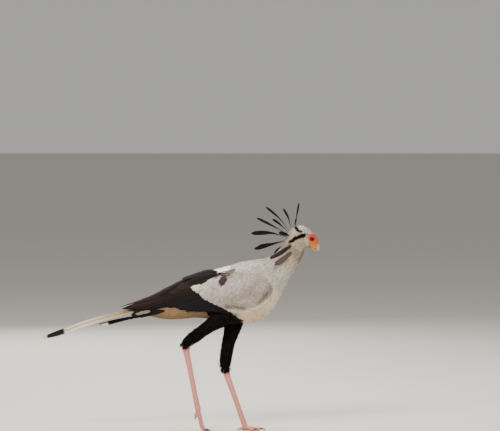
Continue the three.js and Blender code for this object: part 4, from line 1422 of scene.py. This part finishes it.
plumes = [  # line root, middle and tip as (x, z), width, place across the body at root and tip
    (((0.5218, 0.936), (0.5288, 0.996), (0.5387, 1.051)), 0.007, 0.007, 0.012),
    (((0.5168, 0.936), (0.5218, 0.96), (0.5248, 0.98)), 0.0065, -0.007, -0.01),
    (((0.5038, 0.93), (0.4878, 0.987), (0.4667, 1.026)), 0.009, -0.009, -0.022),
    (((0.4948, 0.92), (0.4487, 0.98), (0.3867, 1.033)), 0.0095, 0.005, 0.016),
    (((0.4878, 0.918), (0.4497, 0.956), (0.4168, 0.98)), 0.01, -0.017, -0.038),
    (((0.4858, 0.908), (0.4168, 0.948), (0.3448, 0.984)), 0.0095, -0.006, -0.02),
    (((0.4838, 0.909), (0.4218, 0.942), (0.3578, 0.974)), 0.009, 0.016, 0.04),
    (((0.4948, 0.903), (0.4737, 0.91), (0.4467, 0.919)), 0.015, -0.025, -0.042),
    (((0.4788, 0.896), (0.4047, 0.916), (0.3197, 0.913)), 0.018, -0.01, -0.018),
    (((0.4788, 0.895), (0.4098, 0.912), (0.3357, 0.911)), 0.017, 0.009, 0.024),
    (((0.4768, 0.879), (0.4098, 0.86), (0.3337, 0.842)), 0.0155, -0.012, -0.024),
    (((0.4768, 0.879), (0.4138, 0.863), (0.3498, 0.848)), 0.0155, 0.01, 0.028),
    (((0.4758, 0.864), (0.4437, 0.84), (0.4258, 0.815)), 0.011, 0.0, 0.002),
]
lyingPlumes = [  # on the neck: the same, then the number of strands and their colour
    (((0.497, 0.854), (0.456, 0.82), (0.401, 0.789)), 0.0165, -0.022, -0.036, 2, (0.027, 0.02, 0.018)),
    (((0.497, 0.854), (0.458, 0.823), (0.409, 0.795)), 0.0165, 0.021, 0.038, 2, (0.027, 0.02, 0.018)),
    (((0.506, 0.829), (0.469, 0.797), (0.425, 0.765)), 0.011, -0.032, -0.052, 3, (0.09, 0.07, 0.062)),
    (((0.506, 0.829), (0.47, 0.799), (0.428, 0.769)), 0.0105, 0.032, 0.052, 3, (0.09, 0.07, 0.062)),
]
shortPlume = 7  # the broad one at the nape
plumeNodes = [f"crest_plume_{i + 1:02d}" for i in range(16)]


# Brings a line of points down to the neck, and up out of its coat
def onNeck(curve, out, lift):
    curve[:, 1] = [skinOut(x, z, out, y, 0.12) for x, y, z in curve]
    for _ in range(3):
        place, up = surface.nearest(curve)
        curve = curve + up * (lift - ((curve - place) * up).sum(axis=1))[:, None]
        eased(curve[None], 4)
    return curve, surface.nearest(curve)[1]


def makeCrest():
    rows = 58
    s = np.linspace(0, 1, rows)
    tipRound = np.sqrt(1 - (np.maximum(0, s - 0.85) / 0.15).clip(0, 0.985) ** 2)
    spoon = np.interp(s, np.linspace(0, 1, 7), [0.1, 0.14, 0.22, 0.48, 0.86, 1.0, 0.86]) * tipRound
    band = np.interp(s, np.linspace(0, 1, 7), [0.16, 0.62, 0.86, 0.95, 1.0, 0.95, 0.8]) * tipRound
    strands = [(line, width, near, far, -1, (0.02, 0.015, 0.014)) for line, width, near, far in plumes]
    for line, width, near, far, number, colour in lyingPlumes:
        for k in range(number):
            shift = k - (number - 1) / 2
            apart = shift * np.array((0.0015, 0.0032, 0.0042)) * rng.uniform(0.8, 1.2, 3)
            shorter = 0.16 * abs(shift) * rng.uniform(0.6, 1.4)
            moved = [(x + a, z - a) for (x, z), a in zip(line, apart)]
            moved[2] = tuple(mixed(moved[2], moved[1], shorter))
            strands.append((moved, width, near, far, k, colour))
    found = []  # a middle line, ups, half widths and tints for each
    for index, (line, width, near, far, strand, tint) in enumerate(strands):
        curve = curveThrough([(x, y, z) for (x, z), y in zip(line, (near, (near + far) / 2, far))], rows)
        if strand >= 0:
            lift = 0.004 + (0.0042 + 0.0007 * strand) * smoothStep(s, 0.0, 0.2)
            curve, up = onNeck(curve, np.sign(far), lift)
            dark = smoothStep(s, -0.3, 0.1)
        else:
            up = np.array((0.12 * np.sign(far), 1.0, 0.2))
            curve[:, 1] += 0.0015 * np.sin(9 * s + far * 900)
            dark = smoothStep(s, 0.05, 0.36)
        blade = band if strand >= 0 or index == shortPlume else spoon
        found.append((curve, flat(up, unit(np.gradient(curve, axis=0))),
                      np.stack([blade, blade], axis=1) * width / 2 * 1.06 + 0.0005,
                      mixed((0.16, 0.135, 0.12), tint, dark) * rng.uniform(0.8, 1.2)))
    centres, ups, halves, tints = (column(found, i) for i in range(4))
    colours = tints[:, :, None] * plumeRing[:, None]
    longFeathers("crest_plumes", "crest_feather", centres, ups, halves, colours, 0.0008, plumeNodes,
                 cup=0.1, edge=0.012, splits=1)


makeCrest()

# Loose tuft at the back of the front leg, above the ankle


def makeTuft():
    count, rows = 26, 12
    s = np.linspace(0, 1, rows)
    spread = rng.normal(0, 1, (count, 3))
    root = legLines["left"][2] + np.array((-0.01, 0.0, 0.055)) + spread * (0.003, 0.008, 0.01)
    tip = root + np.array((-0.015, 0.0, -0.04)) + rng.normal(0, 1, (count, 3)) * (0.003, 0.004, 0.005)
    root, _ = surface.nearest(root)
    centres = root[:, None] + (tip - root)[:, None] * s[None, :, None]
    centres[..., 0] -= 0.006 * np.sin(np.pi * s)[None] * rng.uniform(0.5, 1.2, (count, 1))
    ups = flat(np.array((-1.0, 0.0, -0.2)), unit(np.gradient(centres, axis=1)))
    halves = 0.0026 * vaneShape(s, 0.5)[None, :, None] * rng.uniform(0.8, 1.2, (count, 1, 2))
    colours = np.array((0.012, 0.01, 0.01)) * rng.uniform(0.7, 1.5, (count, 1, 1)) * np.ones((1, rows, 1))
    homes, patch = cells(count)
    owned(vaneMesh("tuft_left", centres, ups, halves, np.full((count, rows), 0.0003), colours, homes,
                   featherMaterial, patch=patch), "black_feather")


makeTuft()

# Bill, eyes and lids


def smoothMaterial(name, roughness, coat, specular, grain=0.0):
    material, tree, shader = newMaterial(name, {"Roughness": roughness, "Specular IOR Level": specular,
                                                "Coat Weight": coat, "Coat Roughness": 0.08})
    tint = addNode(tree, "Attribute", attribute_name="plumage")
    tree.links.new(tint.outputs["Color"], shader.inputs["Base Color"])
    if grain:
        noise = addNode(tree, "TexNoise", {"Scale": 320.0, "Detail": 3.0})
        addBump(tree, shader, noise.outputs["Fac"], grain, 0.0005)
    return material


hornMaterial = smoothMaterial("horn", 0.38, 0.15, 0.5, 0.25)
eyeMaterial = smoothMaterial("eye", 0.09, 0.12, 0.3)
lashMaterial = smoothMaterial("lash", 0.6, 0.0, 0.2)

upperBill = np.array([  # back (x, z), belly (x, z), half width, from inside the face to the tip of the hook
    (0.613, 0.869, 0.605, 0.849, 0.008), (0.6215, 0.8748, 0.6076, 0.8435, 0.0118),
    (0.6262, 0.8718, 0.6098, 0.842, 0.0119), (0.6302, 0.866, 0.6146, 0.8402, 0.011),
    (0.6332, 0.859, 0.6172, 0.8388, 0.0098), (0.6342, 0.8525, 0.6192, 0.8366, 0.0086),
    (0.635, 0.8466, 0.6212, 0.8345, 0.0075), (0.6344, 0.8408, 0.6228, 0.8318, 0.0062),
    (0.633, 0.835, 0.624, 0.8288, 0.0048), (0.6311, 0.8296, 0.6247, 0.8262, 0.0034),
    (0.6284, 0.8236, 0.6248, 0.8222, 0.002), (0.6258, 0.819, 0.6244, 0.8188, 0.0008),
])
lowerBill = np.array([
    (0.604, 0.8445, 0.5995, 0.8385, 0.0092), (0.6082, 0.843, 0.6038, 0.836, 0.0094),
    (0.6134, 0.841, 0.6088, 0.8336, 0.0088), (0.618, 0.836, 0.6143, 0.8304, 0.0068),
    (0.6208, 0.8318, 0.6184, 0.828, 0.0038),
])


def billRings(slices, rows, around, flatness):
    lines = curveThrough(slices, rows)
    angle = np.arange(around) * 2 * np.pi / around
    c, sn = np.cos(angle), np.sin(angle)
    along = np.where(c >= 0, c, -np.abs(c) ** flatness)
    wide = np.sign(sn) * np.abs(sn) ** 0.85
    back, belly, half = lines[:, 0:2], lines[:, 2:4], lines[:, 4]
    middle, reach = (back + belly) / 2, (back - belly) / 2
    side = middle[:, None] + reach[:, None] * along[None, :, None]
    return np.stack([side[..., 0], half[:, None] * wide[None], side[..., 1]], axis=-1)


cereEnd, nostrilAt, nostrilTurn = 0.335, 0.275, 1.05  # shares of the bill's length, then radians from the top
# The cere, the horn, its tip and the nostrils
billColours = (0.58, 0.27, 0.045), (0.34, 0.345, 0.33), (0.085, 0.085, 0.09), (0.02, 0.008, 0.006)


def addHorn(half, rings, colours, nudge):
    homes, patch = cells(1)
    first, last = rings[0].mean(axis=0), rings[-1].mean(axis=0) + np.array(nudge)
    horn = shellMesh(f"bill_{half}_horn", rings[None], first[None], last[None], colours[None], homes,
                     hornMaterial, patch=patch)
    owned(horn, "bill_horn", "bill_" + half)


def makeBill():
    rows, around = 56, 48
    rings = billRings(upperBill, rows, around, 0.6)
    t = np.linspace(0, 1, rows)[:, None]
    cere, horn, dark, slit = billColours
    fromTop = np.arange(around) * 2 * np.pi / around
    wave = t - cereEnd - 0.035 * np.cos(fromTop) + 0.004 * np.sin(3 * fromTop)
    colours = mixed(faceColour(rings.reshape(-1, 3)).reshape(rings.shape), cere, 0.45)
    colours = mixed(colours, horn, smoothStep(wave, 0.0, 0.035))
    colours = colours * (1 + 0.05 * np.sin(5 * fromTop + 1.0))[:, None]
    colours = mixed(colours, dark, smoothStep(t, 0.66, 0.97))
    middle = rings.mean(axis=1, keepdims=True)
    # the nostrils are painted near black, as painted shade inside the openings
    for out in (1, -1):  # nostrils: slanting slits in the cere
        away = fromTop - (nostrilTurn if out > 0 else 2 * np.pi - nostrilTurn)
        near = np.exp(-(((t - nostrilAt - 0.1 * away * out) / 0.017) ** 2 + (away / 0.24) ** 2))
        rings = rings + (middle - rings) * (0.17 * near)[..., None]
        colours = mixed(colours, slit, np.clip(near * 1.7 - 0.25, 0, 0.97))
    edge = np.exp(-((wave + 0.003) / 0.014) ** 2)  # shallow furrow where the cere ends
    rings = middle + (rings - middle) * (1 - 0.022 * edge)[..., None]
    addHorn("upper", rings, colours, (-0.0006, 0, -0.0006))
    rings = billRings(lowerBill, 28, around, 1.0)
    colour = mixed((0.55, 0.27, 0.05), (0.24, 0.23, 0.22), smoothStep(np.linspace(0, 1, 28), 0.35, 0.7))
    addHorn("lower", rings, np.repeat(colour[:, None], around, axis=1), (0.0008, 0, -0.0006))


def makeEye(side, out):
    centre = np.array(eyePlan["centre"]) * (1, out, 1)
    look = unit(np.array(eyePlan["look"]) * (1, out, 1))
    across = unit(np.cross(look, (0.0, 0.0, 1.0)))
    upward = np.cross(across, look)
    rows, around = 44, 56
    theta = np.linspace(0.02, np.pi - 0.02, rows)[:, None]
    phi = np.arange(around)[:, None] * 2 * np.pi / around
    radius = eyePlan["ball"] + 0.0006 * np.exp(-(theta / 0.42) ** 4)
    ring = across * np.cos(phi) + upward * np.sin(phi)
    points = centre + radius[..., None] * (look * np.cos(theta)[..., None] + ring * np.sin(theta)[..., None])
    degrees = np.degrees(theta)
    streak = 1 + 0.25 * rng.normal(0, 1, (1, around)).clip(-1.5, 1.5) * smoothStep(degrees, 17, 24)
    iris = np.array((0.026, 0.011, 0.0045)) * streak[..., None]
    colours = mixed(np.zeros((rows, around, 3)) + 0.003, iris, smoothStep(degrees, 16, 18))
    colours = mixed(colours, (0.012, 0.007, 0.005), smoothStep(degrees, 37, 41))
    colours = mixed(colours, (0.05, 0.025, 0.02), smoothStep(degrees, 60, 70))
    homes, patch = cells(1)
    owned(shellMesh("eyeball_" + side, points[None], centre[None] + look * radius[0],
                    centre[None] - look * radius[-1], colours[None], homes, eyeMaterial, patch=patch),
          "eye", "eye_" + side)


# A ring of skin that runs out of the face, over the ball of the eye and in at the rim of the lids
def makeLids(side, out):
    cx, cy, cz = eyePlan["centre"]
    around, rows = 72, 22
    phi = np.arange(around) * 2 * np.pi / around
    a, b = eyePlan["opening"]
    wide, high = eyePlan["outer"]
    turn = np.array([(math.cos(eyePlan["slant"]), math.sin(eyePlan["slant"])),
                     (-math.sin(eyePlan["slant"]), math.cos(eyePlan["slant"]))])
    socket = eyePlan["lidReach"]
    c, sn = np.cos(phi), np.sin(phi)
    u = a * c * (1 + 0.1 * np.abs(c) ** 6)  # the corners are drawn out a little
    v = b * sn * np.where(sn < 0, 1.0, 0.92)
    inner = np.stack([u, v], axis=1) @ turn
    outer = np.stack([wide * c, high * sn], axis=1)
    places = inner + (outer - inner) * np.arange(rows)[:, None, None] / (rows - 1)
    r = np.linalg.norm(places, axis=2)
    asked = places * np.maximum(1.0, socket / r)[..., None]  # past the rim of the socket
    heights = [abs(skinOut(cx + dx, cz + dz, out, 0.012)) for dx, dz in asked.reshape(-1, 2)]
    heights = np.array(heights).reshape(rows, around)
    for _ in range(5):
        heights = (np.roll(heights, 1, axis=1) + 2 * heights + np.roll(heights, -1, axis=1)) / 4
    t = np.linspace(0, 1, rows)[:, None]
    onBall = np.sqrt(np.maximum((eyePlan["ball"] + 0.0009) ** 2 - r ** 2, 0.0)) + cy
    onSkin = heights + 0.0005 - 0.0011 * smoothStep(t, 0.55, 1.0)
    onSkin = np.where(r < socket, np.minimum(onSkin, cy + 0.0078), onSkin)
    blend = 0.0026
    gap = np.maximum(blend - np.abs(onBall - onSkin), 0) / blend
    y = np.maximum(onBall, onSkin) + gap ** 2 * blend * 0.25
    brow = np.exp(-((r - 0.0104) / 0.0026) ** 2) * np.maximum(0.0, np.sin(phi + 0.1)) ** 0.8
    ripple = np.sin(r * 4200 + 1.9 * np.sin(2 * phi) + 1.1 * np.sin(5 * phi + r * 900))
    y += 0.0025 * brow + 0.00013 * ripple * smoothStep(t, 0.1, 0.3) * (1 - smoothStep(t, 0.7, 1))
    front = np.stack([cx + places[..., 0], y, cz + places[..., 1]], axis=-1)
    rim = front[0].copy()
    rim[:, [0, 2]] = (cx, cz) + (rim[:, [0, 2]] - (cx, cz)) * 0.97
    inside = [ring - (0, deeper, 0) for ring, deeper in
              ((rim, 0.001), (front[0], 0.003), (front[rows // 2], 0.004), (front[-1], 0.0026))]
    # From the face in to the rim, then back underneath
    rings = np.concatenate([front[::-1], np.array(inside)])
    rings[:, :, 1] *= out
    count = len(rings)
    ring = np.arange(around)
    after = (ring + 1) % around
    quads = np.concatenate([np.stack([low + ring, low + after, high + after, high + ring], axis=1)
                            for low, high in ((k * around, (k + 1) % count * around) for k in range(count))])
    points = rings.reshape(-1, 3)
    piece = finishMesh("lids_" + side, points, quads[:, ::-out], np.zeros((0, 3), dtype=int), skinMaterial)
    fromRim = np.abs(np.arange(count) - (rows - 1.0))
    rimShare = np.clip(np.exp(-(fromRim / 2.0) ** 2) + 0.55 * np.exp(-(fromRim / 6.0) ** 2), 0, 0.95)
    paint(piece.data, mixed(faceColour(points), (0.04, 0.014, 0.011), np.repeat(rimShare, around)))
    owned(piece, "bare_face")
    return front


# Stiff dark lashes along the upper lid
def makeLashes(side, out, front):
    count, rows, around = 17, 8, 6
    s = np.linspace(0, 1, rows)[:, None]
    phi = np.arange(around)[:, None] * 2 * np.pi / around
    points, roots, tips = [], [], []
    for f in np.linspace(0.25, 2.95, count):
        index = int(round((f + eyePlan["slant"] * 0.3) / (2 * np.pi) * front.shape[1])) % front.shape[1]
        length = 0.0085 * (0.72 + 0.28 * math.sin(f)) * rng.uniform(0.72, 1.12)
        fan = np.array((0.55 * math.cos(f) + 0.22, 0.75 * out, 0.42 + 0.2 * math.sin(f)))
        fan = unit(fan + rng.normal(0, 0.09, 3))
        curl = s ** 2 * np.array((0.1, 0.0, 0.32)) - s * (1 - s) * (0, 0, 0.25)
        line = front[1, index] * (1, out, 1) + length * (s * fan + curl)
        ways = unit(np.gradient(line, axis=0))
        sideways = unit(np.cross(ways, (0.0, 0.0, 1.0)))
        ring = sideways[:, None] * np.cos(phi) + np.cross(sideways, ways)[:, None] * np.sin(phi)
        points.append(line[:, None] + (0.00042 * (1 - 0.85 * s))[..., None] * ring)
        roots.append(line[0] - ways[0] * 0.0006)
        tips.append(line[-1] + ways[-1] * 0.0002)
    homes, patch = cells(count)
    points = np.array(points)
    owned(shellMesh("lashes_" + side, points, np.array(roots), np.array(tips), np.full(points.shape, 0.008),
                    homes, lashMaterial, patch=patch), "black_feather")


makeBill()
for eyeSide, outward in sides.items():
    makeEye(eyeSide, outward)
    makeLashes(eyeSide, outward, makeLids(eyeSide, outward))
print("bill, eyes, lids and lashes made")

# Feet: smooth claws, and horny plates over the bare legs and toes


def makeClaws(side):
    names = [f"claw_{side}_{toe}" for toe in ("inner", "middle", "outer", "hind")]
    mesh = voxelFlesh(names, 0.0003, 0.0008)
    edges = meshEdges(mesh)
    points = relaxed(evened(meshPoints(mesh), edges, 10, 0.5), edges, 2, 0.4)
    points[:, 2] = np.maximum(points[:, 2], 0.0)
    setPoints(mesh, points)
    mesh.shade_smooth()
    far = np.linalg.norm(points - legLines[side][-1], axis=1)
    paint(mesh, mixed((0.11, 0.085, 0.07), (0.022, 0.018, 0.016), smoothStep(far, far.min(), far.max())))
    mesh.materials.append(hornMaterial)
    owned(linked("claws_" + side, mesh), "claw_horn", *names)


# One plate for each step along a line, wrapped over the skin through an arc round that line
def platePoints(line, starts, long, forward, arc, thick=0.00028, reach=0.03):
    columns, rows = 9, 4
    before = np.concatenate([[0.0], np.cumsum(lineSteps(line))])
    share = np.linspace(-1, 1, columns)
    slope = np.linspace(-0.00012, 0.00018, rows)[:, None] * (1 - share ** 2)
    height = slope + thick * (1 - np.abs(share) ** 3) - 0.0003 * share ** 4

    def onLine(at):
        return np.array([np.interp(at, before, line[:, i]) for i in range(3)])

    plates = []
    for begin in starts:
        tops, rays = np.empty((2, rows, columns, 3))
        for k, at in enumerate(np.clip(begin + long * np.linspace(0, 1, rows), 0, before[-1])):
            axis = onLine(at)
            way = unit(onLine(at + 0.004) - onLine(at - 0.004))
            face = unit(forward - way * (forward @ way))
            cross = np.cross(way, face)
            for i, u in enumerate(share):
                rays[k, i] = ray = face * math.cos(u * arc) + cross * math.sin(u * arc)
                tops[k, i] = surface.hit(axis + ray * reach, -ray, axis + ray * 0.007, reach)
        below = tops - rays * 0.0009
        plates.append(np.concatenate([tops + rays * height[..., None], below[:, -2:0:-1]], axis=1))
    return plates


def makePlates(side):
    shank = curveThrough(legLines[side][2:], 24)
    length = lineSteps(shank).sum()
    front, rear = np.array((1.0, 0, 0.2)), np.array((-1.0, 0, 0))
    up = np.array((0.0, 0, 1.0) if side == "left" else (0.75, 0, 0.65))
    plates = platePoints(shank, np.arange(0.01, length - 0.014, 0.0072), 0.0078, front, 1.6)
    plates += platePoints(shank, np.arange(0.014, length - 0.018, 0.008), 0.0086, rear, 1.4)
    for line in toeLines(side):
        toe = curveThrough(line, 16)
        starts = np.arange(0.012, lineSteps(toe).sum() + 0.001, 0.0042)
        plates += platePoints(toe, starts, 0.0048, up, 1.15, thick=0.0003, reach=0.013)
    points = np.array(plates)
    tint = np.array((0.66, 0.315, 0.255)) * rng.uniform(0.9, 1.08, (len(points), 1, 1, 1))
    tint = tint * np.array([0.84, 1.0, 1.04, 0.84])[:, None, None] * np.ones(points.shape)
    homes, patch = cells(len(points))
    first, last = points[:, 0].mean(axis=1), points[:, -1].mean(axis=1)
    owned(shellMesh("scutes_" + side, points, first, last, tint, homes, skinMaterial, patch=patch),
          "leg_skin")
    print("scutes", side, len(points), "plates")


for legSide in sides:
    makeClaws(legSide)
    makePlates(legSide)

toList = lambda bounds: [[float(v) for v in corner] for corner in bounds]
{"cad": toList(cadBounds), "visual": toList(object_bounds())}
